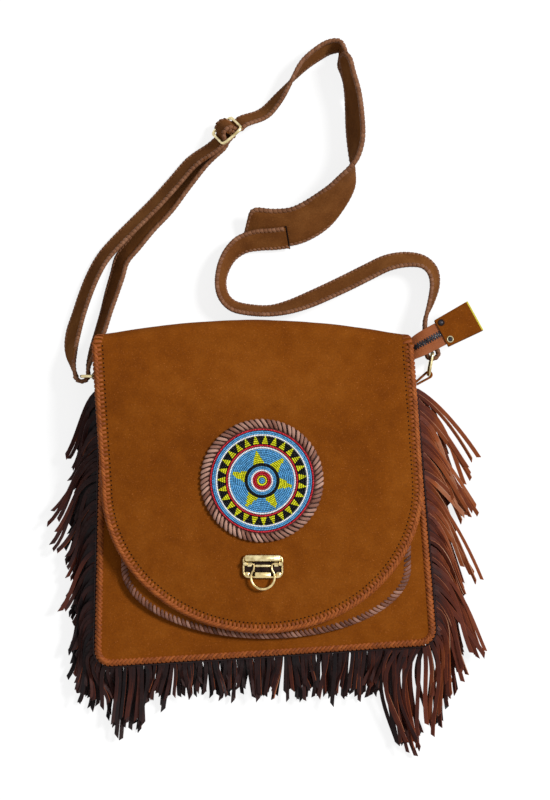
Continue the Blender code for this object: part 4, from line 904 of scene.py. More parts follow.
def make_flap():
    """One hide from the bottom of the back's upper edge, round the mouth, and down the front."""
    columns, fold_rows = 96, 26
    half = FLAP_THICKNESS / 2
    shares = [2 * i / columns - 1 for i in range(columns + 1)]
    rows = [[fold_edge(share, k / fold_rows) for share in shares] for k in range(fold_rows)]
    for row in sheet_rows(*FLAP_SHAPE, 46, 46, columns):
        rows.append([Vector((x, y, flap_height(x, y) + half)) for x, y in row])
    build = Build("flap_hide")
    build.shell(rows, FLAP_THICKNESS, 0.3)
    obj = build.finish("suede", None, ["flap", "flap_fold"])
    cut = Build("clasp_hole_cutter")
    place = Matrix.Translation((CLASP.x, CLASP.y, flap_height(CLASP.x, CLASP.y)))
    cut.lathe(place, [(0.004, -0.01), (0.004, 0.01)])
    cutter = cut.finish("suede", None)
    step = obj.modifiers.new("clasp_hole", "BOOLEAN")
    step.operation = "DIFFERENCE"
    step.object = cutter
    graph = bpy.context.evaluated_depsgraph_get()
    obj.data = bpy.data.meshes.new_from_object(obj.evaluated_get(graph))
    obj.modifiers.clear()
    bpy.data.objects.remove(cutter, do_unlink=True)
    blend_over_the_fold(obj)


def fold_edge(share, t):
    """A point of the fold, its share of the width from -1 to 1."""
    width = lerp(FOLD_HALF_WIDTH, FLAP_HALF_WIDTH - 0.001, eased((t - 0.35) / 0.65))
    return fold_point(flap_middle(HINGE_Y) + width * share, share, t, HINGE_HEIGHT + FLAP_THICKNESS / 2)


def fold_point(x, share, t, top):
    """A point of the fold: t is 0 where it is sewn to the back and 1 at the flap."""
    reach = HINGE_Y + FOLD_REACH + FOLD_BULGE * max(0.0, 1 - share * share) - 0.0011
    start, low_y, low_z = HINGE_Y, BACK_TOP + 0.0006, SUEDE / 2 + BACK_LIFT
    corner = min(FOLD_CORNER, reach - start - 0.0005)
    turn = [(corner * cos(pi / 2 * k / 6), corner * sin(pi / 2 * k / 6)) for k in range(7)]
    path = [Vector((0, low_y, low_z))]
    path += [Vector((0, reach - corner + b, low_z + corner - a)) for a, b in turn]
    path += [Vector((0, reach - corner + a, top - corner + b)) for a, b in turn]
    path.append(Vector((0, start, top)))
    lengths = [(b - a).length for a, b in zip(path, path[1:])]
    left = t * sum(lengths)
    for a, b, length in zip(path, path[1:], lengths):
        if left <= length:
            break
        left -= length
    p = a.lerp(b, left / max(length, 1e-9))
    sag = 0.001 * ripple(x, 10 * t, 0.045, 2.0) * sin(pi * t)
    return Vector((x, p.y + sag, p.z))


# Body

def make_hide(name, grid, node):
    """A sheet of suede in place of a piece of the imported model."""
    hide = Build(name)
    hide.shell(grid, SUEDE)
    hide.finish("suede", "bag", [node])


def make_panels():
    rows = []
    for k in range(61):
        t = k / 60
        inside = min(1.0, (1 - t) * (BODY_TOP - BODY_BOTTOM) / BODY_CORNER)
        cut = BODY_CORNER * (1 - sqrt(max(0.0, 1 - (1 - inside) ** 2)))
        reach = 1 - cut / body_half_width(t)
        points = [body_point(reach * (2 * i / 80 - 1), t) for i in range(81)]
        rows.append([at(p, front_height(p.x, p.y) + SUEDE / 2 + body_wave(p)) for p in points])
    make_hide("front_hide", rows, "front_panel")
    middle = BACK_LIFT + SUEDE / 2
    left, right = rows[0][0].x, rows[0][-1].x
    back_rows = [
        [Vector((lerp(left, right, i / 80), y, middle)) for i in range(81)]
        for y in (BACK_TOP, (BACK_TOP + BODY_TOP) / 2)
    ]
    make_hide("back_hide", back_rows + [[at(p, middle) for p in row] for row in rows], "back_panel")
    edge = body_edge()
    wall = []
    for k in range(9):
        t = k / 8
        line = outward(edge, GUSSET_BULGE * 4 * t * (1 - t) - SUEDE / 2)
        wall.append([at(p, lerp(BACK_LIFT + SUEDE + GAP, SEAM_HEIGHT, t)) for p in line])
    make_hide("gusset_hide", wall, "gusset")


def body_wave(p):
    return 0.0006 * (ripple(p.x, p.y, 0.05, 9.0) - 0.5) * eased((p.y - BODY_BOTTOM) / 0.03)


def make_body_lacing():
    edge = body_edge(60)
    half = SUEDE / 2
    down = down_the_side(0.0056, 0.005, half, 0.0007, LACE_PITCH * 0.8)
    crossing = (
        (0.005, half + 0.0002, LACE_PITCH * 0.7), (0.0032, half + 0.0017, LACE_PITCH * 0.3),
        (0.0012, half + 0.0016, -LACE_PITCH * 0.3), (-0.0007, half * 0.2, -LACE_PITCH * 0.7),
    )
    build = Build("front_lacing_turns")
    for spot in surface_spots(edge, lambda x, y: SEAM_HEIGHT + half, 0.005, LACE_PITCH):
        wrap(build, spot, down, FRONT_LACE, tone(0.25, 0.7))
        wrap(build, spot, crossing, FRONT_CROSSING, tone(0.3, 0.8))
    build.finish("orange_lace", "bag", ["front_lacing"])
    back = Build("back_lacing_turns")
    up = down_the_side(0.0056, 0.005, half, 0.0005, LACE_PITCH)
    back_spots = surface_spots(edge, lambda x, y: BACK_LIFT + half, 0.005, LACE_PITCH * 1.15)
    for rim, ahead, inward, normal in back_spots:
        wrap(back, (rim, ahead, inward, -normal), up, BACK_LACE, tone(0.2, 0.7))
    back.finish("orange_lace", "bag", ["back_lacing"])


def make_pocket():
    half = SUEDE / 2
    rows = [
        [Vector((x, y, pocket_height(x, y) + half)) for x, y in row]
        for row in sheet_rows(*POCKET_SHAPE, 20, 34, 60)
    ]
    make_hide("pocket_hide", rows, "pocket_panel")
    line = sheet_line(*POCKET_SHAPE, half, 30)
    side = []
    for k in range(5):
        side.append([
            at(p, lerp(front_height(p.x, p.y) + SUEDE + GAP, pocket_height(p.x, p.y), k / 4)) for p in line
        ])
    make_hide("pocket_side_hide", side, "pocket_gusset")
    lacing = Build("pocket_lacing_turns")
    down = down_the_side(0.006, 0.003, half, 0.0006, 0.0046)
    edge = sheet_line(*POCKET_SHAPE, 0.0, 40)
    for spot in surface_spots(edge, lambda x, y: pocket_height(x, y) + half, 0.006, 0.0042):
        wrap(lacing, spot, down, POCKET_LACE, tone(0.1, 0.75))
    lacing.finish("mauve_lace", "bag", ["pocket_lacing"])


# Medallion

def bead_colour(ring, row, index, radius, angle):
    if ring == "star":
        share = (radius - STAR_START) / (STAR_REACH - STAR_START)
        half = lerp(STAR_BASE, STAR_TIP, share) / 2
        for tip in STAR_ANGLES:
            turn = (angle - tip + pi) % (2 * pi) - pi
            if radius < STAR_REACH and abs(turn) < pi / 2 and abs(sin(turn)) * radius < half:
                return "yellow"
        return "blue"
    if ring == "teeth":
        place = (index + 0.5 * (row % 2)) % 6
        return "yellow" if abs(place - 2.5) < (4 - row) / 2 - 0.1 else "black"
    return ring


def make_beads(floor):
    builds = {colour: Build("seed_beads_" + colour) for colour in BEAD_NODES}
    inner = 0.0
    for ring, outer in BEAD_RINGS:
        rows = max(1, round((outer - inner) / BEAD_ROW))
        pitch = (outer - inner) / rows
        for row in range(rows):
            radius = inner + (row + 0.5) * pitch
            count = TEETH * 6 if ring == "teeth" else max(1, round(2 * pi * radius / BEAD_PITCH))
            shift = 0.5 * (row % 2)
            for index in range(count):
                angle = 2 * pi * (index + shift) / count + RANDOM.uniform(-0.03, 0.03) / count
                colour = bead_colour(ring, row, index, radius, angle)
                length = 2 * pi * radius / count * 0.9
                size = min(pitch, BEAD_THICKEST) * RANDOM.uniform(0.43, 0.48)
                size *= WHITE_BEAD_GAIN if colour == "white" else 1.0
                add_bead(builds[colour], radius, angle, floor, size, min(length, BEAD_LONGEST))
        inner = outer
    for colour, build in builds.items():
        build.finish(colour, "flap", [f"beads_{colour}_{end}" for end in BEAD_NODES[colour]], 80)


def add_bead(build, radius, angle, floor, size, length):
    """A seed bead on its side, threaded along the ring."""
    out = heading(angle)
    centre = MEDALLION + out * radius + UP * (floor + size)
    along = (left_of(out) + out * RANDOM.uniform(-0.06, 0.06)).normalized()
    out = along.cross(UP)
    rings = []
    for place, share in ((-0.5, 0.55), (-0.36, 0.9), (0.0, 1.0), (0.36, 0.9), (0.5, 0.55)):
        middle = centre + along * (place * length)
        rings.append([middle + (out * a + UP * b) * (size * share) for a, b in circle(BEAD_SIDES)])
    build.rings(rings, tone(0.2, 0.9))


def make_medallion():
    floor = flap_top(MEDALLION.x, MEDALLION.y) + GAP
    place = Matrix.Translation(at(MEDALLION, floor))
    edge, top = MEDALLION_RADIUS, MEDALLION_BASE
    backing = Build("medallion_hide")
    profile = [
        (0.001, 0.0), (edge - 0.0008, 0.0), (edge - 0.0002, 0.0004), (edge - 0.0002, 0.0009),
        (edge - 0.0008, 0.0014), (0.0475, top), (0.001, top),
    ]
    backing.lathe(place, profile, 96, 0.0)
    backing.finish("mauve_lace", "flap", ["medallion_backing"])
    # A near-black disc under the beads: painted shade in the gaps between them
    bead_gaps = Build("bead_gap_shade")
    low, high = top - 0.0001, top + 0.0002
    bead_gaps.lathe(place, [(0.001, low), (BEAD_FIELD, low), (BEAD_FIELD, high), (0.001, high)], 64)
    bead_gaps.finish("hole", "flap")
    lacing = Build("medallion_lacing_turns")
    lean = MEDALLION_TURN_LEAN
    path = (
        (0.0078, 0.0004, -lean * 0.55), (0.0062, 0.0021, -lean * 0.4), (0.0036, 0.0027, -lean * 0.05),
        (0.0012, 0.0022, lean * 0.32), (0.0000, 0.0009, lean * 0.52), (0.0012, -0.0004, lean * 0.55),
    )
    for k in range(MEDALLION_TURNS):
        out = heading(2 * pi * (k + RANDOM.uniform(-0.08, 0.08)) / MEDALLION_TURNS)
        rim = MEDALLION + out * edge + UP * (floor + top / 2)
        wrap(lacing, (rim, left_of(out), -out, UP), path, MEDALLION_LACE, tone(0.45, 1.0))
    lacing.finish("mauve_lace", "flap", ["medallion_lacing"])
    make_beads(floor + top + GAP)


# Clasp

def make_clasp():
    place = Matrix.Translation(at(CLASP, flap_top(CLASP.x, CLASP.y + CLASP_DEPTH / 2) + GAP))
    width, depth = CLASP_WIDTH, CLASP_DEPTH
    plate = Build("clasp_plate")
    plate.slab(place, rounded_slab(width, depth, 0.0055, 0.0, 0.0015, 0.0004))
    plate.finish("dark_brass", "flap")
    rim = Build("clasp_frame")
    loop = rounded_loop(width - 0.002, depth - 0.002, 0.0046, 0.0019, 9)
    rim.tube([place @ Vector(p) for p in loop], 0.001, cyclic=True)
    lip = moved(place, y=-depth / 2 + 0.003)
    rim.slab(lip, rounded_slab(0.015, 0.0052, 0.0012, 0.0012, 0.003, 0.0008))
    for side in (-1, 1):
        rim.slab(moved(lip, side * 0.0141), rounded_slab(0.0046, 0.005, 0.0018, 0.0012, 0.0028, 0.0008))
    rim.finish("brass", "flap", ["clasp_housing"])
    bar = Build("clasp_bar")
    bar_place = moved(place, y=depth / 2 - 0.0033)
    bar.slab(bar_place, rounded_slab(width - 0.0036, 0.0064, 0.002, 0.001, 0.005, 0.0014))
    knob = [(0.0006, -0.002), (0.0019, -0.0015), (0.0019, 0.0015), (0.0006, 0.002)]
    for side in (-1, 1):
        block = moved(place, side * (BAIL_NECK + 0.0042), BAIL_PIVOT - 0.0006)
        bar.slab(block, rounded_slab(0.0042, 0.004, 0.0008, 0.0008, 0.003, 0.0004))
        bar.lathe(moved(place, side * (width / 2 - 0.0022), BAIL_PIVOT, BAIL_LIFT) @ LIES_SIDEWAYS, knob)
    bar.finish("bright_brass", "flap")
    pin = Build("clasp_roller")
    end = [(0.0005, 0.007), (0.001, 0.0068), (0.0012, 0.0064)]
    pin.lathe(moved(place, 0, 0.0005, 0.003) @ LIES_SIDEWAYS, [(r, -z) for r, z in end] + end[::-1])
    pin.finish("bright_brass", "flap")
    bail = Build("clasp_bow")
    foot = width / 2 - 0.0038
    half = [(foot, 0.0), (BAIL_NECK + 0.0016, 0.0), (BAIL_NECK + 0.0002, -0.0014)]
    for k in range(13):
        angle = lerp(radians(38), radians(-90), k / 12)
        half.append((BAIL_RADIUS * cos(angle), -BAIL_DROP + BAIL_RADIUS * sin(angle)))
    line = half + [(-x, y) for x, y in reversed(half[:-1])]
    line = smooth(line, 2)
    points = [place @ Vector((x, BAIL_PIVOT + y, BAIL_LIFT)) for x, y in line]
    radii = [BAIL_WIRE * lerp(0.72, 0.98, eased(-y / 0.02)) for _, y in line]
    bail.tube(points, radii, section=ROUND_SECTION)
    bail.finish("brass", "clasp_bail", ["clasp_bail"], 80)


# Straps

SHORT_STRAP_ROUTE = (
    (0.0198, 0.2325, 34), (0.008, 0.2305, 34), (-0.0075, 0.229, 36), (-0.0225, 0.224, 46),
    (-0.034, 0.2115, 60), (-0.04, 0.1945, 69), (-0.0385, 0.179, 69), (-0.03, 0.169, 68), (-0.0155, 0.165, 68),
    (0.004, 0.164, 68), (0.022, 0.1675, 61), (0.04, 0.174, 54), (0.057, 0.1815, 52), (0.075, 0.19, 51),
    (0.093, 0.199, 51), (0.111, 0.2075, 52), (0.128, 0.2105, 56), (0.143, 0.2085, 62), (0.152, 0.2, 66),
    (0.154, 0.187, 72), (0.1505, 0.172, 80, 0.002), (0.1455, 0.157, 90, 0.0045),
)
PAD_ROUTE = (
    (0.0668, 0.395, 116), (0.07, 0.388, 115), (0.073, 0.378, 113), (0.078, 0.36, 113), (0.081, 0.34, 112),
    (0.0822, 0.32, 110), (0.0812, 0.304, 100), (0.0785, 0.292, 84), (0.0735, 0.28, 66), (0.064, 0.267, 54),
    (0.048, 0.252, 38), (0.03, 0.242, 33), (0.012, 0.239, 31), (-0.005, 0.24, 31), (-0.0165, 0.243, 31),
)
DOWN_ROUTE = (
    (-0.056, 0.299, 119), (-0.0735, 0.2775, 122), (-0.089, 0.258, 128), (-0.105, 0.241, 128),
    (-0.119, 0.224, 128), (-0.1295, 0.211, 127), (-0.134, 0.196, 125), (-0.139, 0.18, 122),
    (-0.144, 0.163, 116), (-0.149, 0.146, 114, 0.002), (-0.155, 0.129, 108, 0.004),
    (-0.1597, 0.115, 96, 0.0053),
)
UP_ROUTE = (
    (-0.1745, 0.116, 80, 0.0045), (-0.176, 0.129, 62, 0.002), (-0.174, 0.144, 56), (-0.169, 0.161, 60),
    (-0.163, 0.179, 60), (-0.156, 0.196, 60), (-0.147, 0.212, 60), (-0.134, 0.227, 60), (-0.117, 0.244, 60),
    (-0.099, 0.262, 60), (-0.082, 0.281, 60), (-0.066, 0.299, 60),
)
ON_ROUTE = (
    (-0.001, 0.343, 62), (0.013, 0.358, 70), (0.0248, 0.374, 90), (0.035, 0.387, 108), (0.048, 0.3975, 116),
    (0.059, 0.4035, 118), (0.069, 0.403, 114, 0.0012),
)


def leaning(route, width, lift=0.0004):
    """Stations of a strip on its lower edge. A route point is x, y, its lean in degrees, and its lift."""
    route = [(*point, 0.0)[:4] for point in route]
    flat = [Vector((x, y, 0.0)) for x, y, _, _ in route]
    stations = []
    for (x, y, lean, raised), ahead in zip(route, tangents(flat)):
        lean = radians(lean)
        across = ahead.cross(UP) * cos(lean) + UP * sin(lean)
        height = abs(sin(lean)) * width / 2 + abs(cos(lean)) * STRAP_EDGE / 2 + lift + raised
        stations.append((Vector((x, y, height)), across))
    return stations


def slider_axes():
    ahead = heading(SLIDER_ANGLE)
    across = ahead.cross(UP) * cos(SLIDER_TILT) + UP * sin(SLIDER_TILT)
    return ahead, across, across.cross(ahead)


def slider_place(along, through):
    ahead, _, normal = slider_axes()
    return SLIDER + ahead * along + normal * through


def pad_stations():
    return leaning(PAD_ROUTE, PAD_WIDTH)


def long_strap_stations():
    """From the adjuster's bar, down to the left ring, back through the adjuster, and on to the pad."""
    _, across, _ = slider_axes()
    loop = SLIDER_WIRE + 2 * GAP + STRAP_THICKNESS / 2
    over = loop + STRAP_THICKNESS + 2 * GAP
    under = -(SLIDER_WIRE + GAP + STRAP_THICKNESS / 2 + 0.0004)
    low = under - STRAP_THICKNESS - 2 * GAP
    loop_path = [(loop * cos(a), loop * sin(a)) for a in map(radians, (115, 80, 45, 10, -30, -65))]
    loop_path += [(-0.006, low + 0.0022), (-0.011, low), (-0.017, low - 0.0006)]
    stations = [(slider_place(s, n), across) for s, n in loop_path]
    turn_x, turn_y = RING_LEFT
    turn = [
        (turn_x + 0.0058 * cos(a), turn_y + 0.0012 + 0.0058 * sin(a), 90, 0.0053)
        for a in map(radians, range(0, -181, -30))
    ]
    stations += leaning([*DOWN_ROUTE, *turn, *UP_ROUTE], STRAP_WIDTH)
    weave = (
        (-0.0215, under - 0.0002), (-0.011, under), (-0.0084, under + 0.0014), (-over + 0.0002, 0.0008),
        (-over * 0.72, over * 0.72), (0.0, over), (over * 0.72, over * 0.72), (over - 0.0002, 0.0008),
        (0.0084, under + 0.0014), (0.011, under), (0.018, under - 0.0006),
    )
    stations += [(slider_place(s, n), across) for s, n in weave]
    pad = pad_stations()
    lap = [
        (place + across.cross(ahead) * PAD_LAP_OFFSET - across * 0.005, across)
        for (place, across), ahead in list(zip(pad, tangents([p for p, _ in pad])))[1:4]
    ]
    return stations + leaning(ON_ROUTE, STRAP_WIDTH) + lap


def short_strap_stations():
    """From where it is sewn on the pad, along the ground, and round the right ring's bar."""
    lying = leaning(SHORT_STRAP_ROUTE, STRAP_WIDTH)
    lift = PAD_THICKNESS / 2 + STRAP_THICKNESS / 2 + 0.0006
    raised = []
    for i, (place, across) in enumerate(lying):
        normal = across.cross(Vector((-1, 0, 0))).normalized()
        raised.append((place + normal * lift * max(0.0, 1 - i / 4), across))
    radius = RING_WIRE + STRAP_THICKNESS / 2 + RING_PLAY
    bend = [(radius * cos(a), radius * sin(a)) for a in map(radians, range(180, 381, 40))]
    route = [(-0.0065, 0.018), (-0.005, 0.008), *bend, (0.0002, 0.0105), (-0.0016, 0.02)]
    ring_x, ring_y = RING_RIGHT
    return raised + [(Vector((ring_x + x, ring_y + y, RING_HEIGHT)), UP) for x, y in route]


def refine(stations, steps):
    values = smooth([(*place, *across) for place, across in stations], steps)
    return [(Vector(v[:3]), Vector(v[3:]).normalized()) for v in values]


def band_section(edge):
    """A band that is thickest along its middle line of padding and rolls over at its edges."""
    half = ((1.0, 0.0), (0.985, 0.62), (0.93, 1.0), (0.62, edge), (0.0, edge * 1.02))
    top = half + tuple((-a, b) for a, b in reversed(half[:-1]))
    return top + tuple((-a, -b) for a, b in top[1:-1])


def rounded_ends(places, acrosses, width, half, corner, taper):
    """Half widths that narrow round the corners of both ends. The band's middle line moves with them."""
    lengths = [0.0] + [(b - a).length for a, b in zip(places, places[1:])]
    total = sum(lengths)
    done = 0.0
    middles, halves = [], []
    for place, across, length in zip(places, acrosses, lengths):
        done += length
        left = corner - min(done, total - done, corner)
        cut = (1 - eased(done / taper)) * 0.4 * width
        halves.append(half - cut / 2 - corner * 0.8 + 0.8 * sqrt(max(0.0, corner * corner - left * left)))
        middles.append(place + across * cut / 2)
    return middles, halves


def make_strap(name, node, stations, width, thickness, steps, pitch=STRAP_PITCH, crown=0.9, ends=None):
    """A double band laced round its edges, and round its ends where they have a corner and a taper."""
    places, acrosses = zip(*refine(stations, steps))
    places, acrosses = list(places), list(acrosses)
    count = len(places)
    halves = [width / 2 - 0.0011] * count
    if ends:
        places, halves = rounded_ends(places, acrosses, width, halves[0], *ends)
    band = Build(name)
    thick = [thickness / 2 * (1 + 0.06 * ripple(k * 0.11, 0.0, 1.0, 3.0)) for k in range(count)]
    band.ribbon(places, acrosses, halves, thick, band_section(crown))
    obj = band.finish("strap", "bag", [node], 60)
    normals = [ahead.cross(a).normalized() for ahead, a in zip(tangents(places), acrosses)]
    edges = [
        [(p + a * side * h, n) for p, a, h, n in zip(places, acrosses, halves, normals)][::side]
        for side in (1, -1)
    ]
    if ends:
        edges = [edges[0] + edges[1] + edges[0][:1]]
    path = over_the_rim(0.0034, 0.0034, thickness / 2 * 0.8, 0.00035, pitch * 0.85)
    lace = (pitch * 0.48, STRAP_LACE_THICKNESS)
    turns = Build(name + "_lacing")
    for edge in edges:
        line = [p for p, _ in edge]
        i = 0
        for place, ahead in evenly(line, pitch):
            i = nearest(line, place, i)
            inward = ahead.cross(edge[i][1]).normalized()
            wrap(turns, (place, ahead, inward, inward.cross(ahead)), path, lace, tone(0.3, 0.75))
    turns.finish("strap_lace", "bag")
    return obj


def nearest(line, place, start, window=12):
    """The point of the line nearest to a place, looked for a little way on from the last one."""
    best = start
    for i in range(start, min(start + window, len(line))):
        if (line[i] - place).length < (line[best] - place).length:
            best = i
    return best


def make_straps():
    for name, stations in (("long", long_strap_stations()), ("short", short_strap_stations())):
        make_strap(name + "_strap", "strap_" + name, stations, STRAP_WIDTH, STRAP_THICKNESS, 4)
    pad = make_strap(
        "pad", "shoulder_pad", pad_stations(), PAD_WIDTH, PAD_THICKNESS, 8,
        PAD_PITCH, PAD_CROWN, (PAD_CORNER, PAD_TAPER),
    )
    place, across = short_strap_stations()[0]
    # A near-black line of painted shade where the short strap's end lies on the pad
    seam = Build("strap_end_shade_line")
    place = place + Vector((0.0006, 0.0, 0.0))
    seam.tube([place + across * (STRAP_WIDTH * k / 8) for k in range(-4, 5)], 0.0009)
    seam.finish("hole", "bag")


def make_hardware():
    ahead, across, normal = slider_axes()
    place = Matrix.Translation(SLIDER) @ axes(ahead, across, -normal)
    slider = Build("adjuster")
    loop = rounded_loop(SLIDER_ALONG - 2 * SLIDER_WIRE, SLIDER_ACROSS - 2 * SLIDER_WIRE, 0.004, 0.0, 7)
    slider.tube([place @ Vector(p) for p in loop], SLIDER_WIRE, cyclic=True, section=ROUND_SECTION)
    bar_half = SLIDER_ACROSS / 2 - SLIDER_WIRE
    bar = [place @ Vector((0, bar_half * s, 0)) for s in (-1, -0.5, 0, 0.5, 1)]
    slider.tube(bar, SLIDER_WIRE, section=ROUND_SECTION)
    slider.finish("bright_brass", "bag", ["strap_slider"], 80)
    make_ring("left", RING_LEFT, RING_LEFT_REACH, pi, pi, 0.0043)
    make_ring("right", RING_RIGHT, RING_RIGHT_REACH, radians(80), radians(35), 0.0135)


def make_ring(side, spot, reach, direction, tab_direction, tail):
    ahead = heading(direction)
    middle = Vector((*spot, RING_HEIGHT)) - ahead * reach / 2
    ring = Build("loop_" + side)
    loop = rounded_loop(reach, RING_ACROSS, 0.0035, 0.0, 7)
    wire = [middle + ahead * x + UP * y for x, y, _ in loop]
    ring.tube(wire, RING_WIRE, cyclic=True, section=ROUND_SECTION)
    ring.finish("bright_brass", "ring_" + side, ["ring_" + side], 80)
    pivot = middle - ahead * reach / 2
    radius = RING_WIRE + GAP + 0.0009 + 0.0001
    tab_ahead = heading(tab_direction)
    tab_normal = UP.cross(tab_ahead)
    ends = [pivot - tab_ahead * tail + tab_normal * sign * 0.0011 for sign in (1, -1)]
    turn = [
        pivot + tab_ahead * radius * cos(a) + tab_normal * radius * sin(a)
        for a in map(radians, range(90, -91, -15))
    ]
    tab = Build("tab_" + side)
    section = ((1, -0.6), (1, 0.6), (0.96, 1), (-0.96, 1), (-1, 0.6), (-1, -0.6), (-0.96, -1), (0.96, -1))
    tab.ribbon([ends[0], *turn, ends[1]], UP, 0.01, 0.0009, section)
    tab.finish("suede", "bag", ["ring_tab_" + side])


# Zip

# A point of the zip is x, how far it is out past its line, how high over it, and its lean in degrees
ZIP_ROUTE = (
    (-0.138, 0.0, 0.0, 90), (-0.09, 0.0, 0.0, 90), (-0.03, 0.0, 0.0, 90), (0.03, 0.0, 0.0, 90),
    (0.09, 0.0, 0.0, 90), (0.096, 0.0, 0.0, 90), (0.106, 0.003, 0.002, 88), (0.121, 0.0105, 0.009, 68),
    (0.134, 0.019, 0.016, 36), (0.146, 0.026, 0.017, 12), (0.158, 0.0325, 0.016, 8),
    (0.168, 0.0375, 0.0145, 8),
)


def zip_stations(steps):
    route = smooth(ZIP_ROUTE, steps)
    places = [Vector((x, ZIP_Y + out, ZIP_HEIGHT + rise)) for x, out, rise, _ in route]
    stations = []
    for place, ahead, (_, _, _, lean) in zip(places, tangents(places), route):
        side = ahead.cross(UP).normalized()
        stations.append((place, side * cos(radians(lean)) + UP * sin(radians(lean))))
    return stations


FACING_SECTION = (
    (1, 0), (0.97, 0.8), (0.9, 1), (-0.9, 1), (-0.97, 0.8),
    (-1, 0), (-0.97, -0.8), (-0.9, -1), (0.9, -1), (0.97, -0.8),
)
# Cuts across a tooth, from its root to its head: half width, place along and half thickness
TOOTH_CUTS = ((0.00062, -0.0019, 0.0008), (0.00092, -0.0002, 0.001), (0.0006, 0.0016, 0.0008))
TOOTH = [[(w, y, -h), (w, y, h), (-w, y, h), (-w, y, -h)] for w, y, h in TOOTH_CUTS]
STITCH = ((-0.0011, -0.0001), (-0.0006, 0.00018), (0.0006, 0.00018), (0.0011, -0.0001))


def make_zip():
    """The two halves of the zip, each a facing, a tape and its teeth, and the tab at the end of its tail."""
    stations = zip_stations(8)
    inner = TEETH_SLIT / 2 + TEETH_WIDTH + 2 * GAP
    places = [p for p, _ in stations]
    acrosses = [a for _, a in stations]
    mouth = [min(1.0, max(0.0, (0.118 - p.x) / 0.03)) for p in places]
    widths = [lerp(FACING_WIDTH, FACING_MOUTH_WIDTH, share) for share in mouth]
    covers = [0.0015 * eased((p.x - 0.094) / 0.012) for p in places]
    for label, sign in (("front", 1), ("back", -1)):
        shifts = [sign * (inner + (w - c) / 2 - 0.0003) for w, c in zip(widths, covers)]
        middles = [p + a * shift for p, a, shift in zip(places, acrosses, shifts)]
        halves = [(w + c) / 2 + 0.0003 for w, c in zip(widths, covers)]
        facing = Build("facing_" + label)
        facing.ribbon(middles, acrosses, halves, FACING_THICKNESS / 2, FACING_SECTION)
        facing.finish("facing", "bag", ["zip_facing_" + label, "zip_tail_" + label])
        tape = Build("tape_" + label)
        tape_middle = TEETH_SLIT / 2 + 0.0016
        tape.ribbon([p + a * sign * tape_middle for p, a in stations], acrosses, 0.0014, 0.0003)
        tape.finish("tape", "bag")
        teeth = Build("teeth_" + label)
        i = 0
        for place, ahead in evenly(places, TOOTH_PITCH):
            i = nearest(places, place, i)
            across = acrosses[i] * sign
            spot = Matrix.Translation(place + ahead * 0.0006 * sign + across * 0.0015)
            teeth.slab(spot @ axes(ahead, across, ahead.cross(across)), TOOTH)
        teeth.finish("black_metal", "bag", ["zip_teeth_" + label], 30)
        stitch = Build("facing_stitches_" + label)
        stitch_line(stitch, [p + a * sign * (inner + 0.0016) for p, a in zip(places, acrosses)], acrosses)
        stitch.finish("facing", "bag")
    make_end_tab(stations)


def stitch_line(build, seam, acrosses):
    """Thread in short raised stitches on both faces of a facing."""
    i = 0
    for place, ahead in evenly(seam, STITCH_PITCH):
        i = nearest(seam, place, i)
        normal = acrosses[i].cross(ahead).normalized()
        for face in (1, -1):
            points = [place + ahead * a + normal * face * (FACING_THICKNESS / 2 + h) for a, h in STITCH]
            build.tube(points, 0.00022, 0.9, section=WIRE_SECTION[::2])


def make_end_tab(stations):
    place, across = stations[-1]
    ahead = (place - stations[-17][0]).normalized()
    across = (across - ahead * across.dot(ahead)).normalized()
    turn = axes(ahead, across, ahead.cross(across))
    centre = Matrix.Translation(place + ahead * (END_TAB_LENGTH / 2 - 0.01)) @ turn
    leaf = FACING_THICKNESS / 2 + 0.0006
    half, wide, bend = END_TAB_LENGTH / 2, END_TAB_WIDTH / 2, END_TAB_ROUND
    outline = [(-half, bend)]
    for k in range(13):
        angle = pi / 2 - pi * k / 12
        outline.append((half - bend + bend * cos(angle), bend * sin(angle)))
    slit = half - 0.012
    outline += [(-half, -bend), (-half, -leaf), (slit, -0.0004), (slit, 0.0004), (-half, leaf)]
    flare = [lerp(0.96, 1.07, (x + half) / (2 * half)) for x, _ in outline]
    loops = []
    flat = wide - 0.0005
    for y, shrink in ((-wide, 0.0006), (-flat, 0.0), (0.0, 0.0), (flat, 0.0), (wide, 0.0006)):
        loops.append([(x, y * f, z * (1 - shrink / bend)) for (x, z), f in zip(outline, flare)])
    tab = Build("end_tab")
    tab.slab(centre, loops)
    tab.finish("suede", "bag", ["zip_end_tab"])
    edge = Build("end_tab_edge")
    for face in (1, -1):
        line = [centre @ Vector((half - 0.0008, wide * 1.06 * s, face * 0.0021)) for s in (-1, 0, 1)]
        edge.ribbon(line, turn.to_3x3() @ Vector((1, 0, -face)), 0.0011, 0.0003)
    edge.finish("tab_edge", "bag")
    face = END_TAB_THICKNESS / 2
    head = [(0.0003, face + 0.0013), (0.0014, face + 0.0011), (0.0022, face + 0.0002), (0.0012, face)]
    for label, side in (("upper", -1), ("lower", 1)):
        local = moved(centre, 0.0042 - half, side * 0.0086)
        rivet = Build("rivet_" + label)
        rivet.lathe(local, [(r, -z) for r, z in head] + head[::-1], 16)
        rivet.finish("black_metal", "bag", ["zip_tab_rivet_" + label])
        collar = Build("eyelet_" + label)
        for height in (-face - 0.0001, face + 0.0001):
            ring = [local @ Vector((x, y, height)) for x, y in circle(20, EYELET_RADIUS)]
            collar.tube(ring, 0.0006, cyclic=True)
        collar.finish("dark_brass" if side < 0 else "aged_steel", "bag")


# Fringe

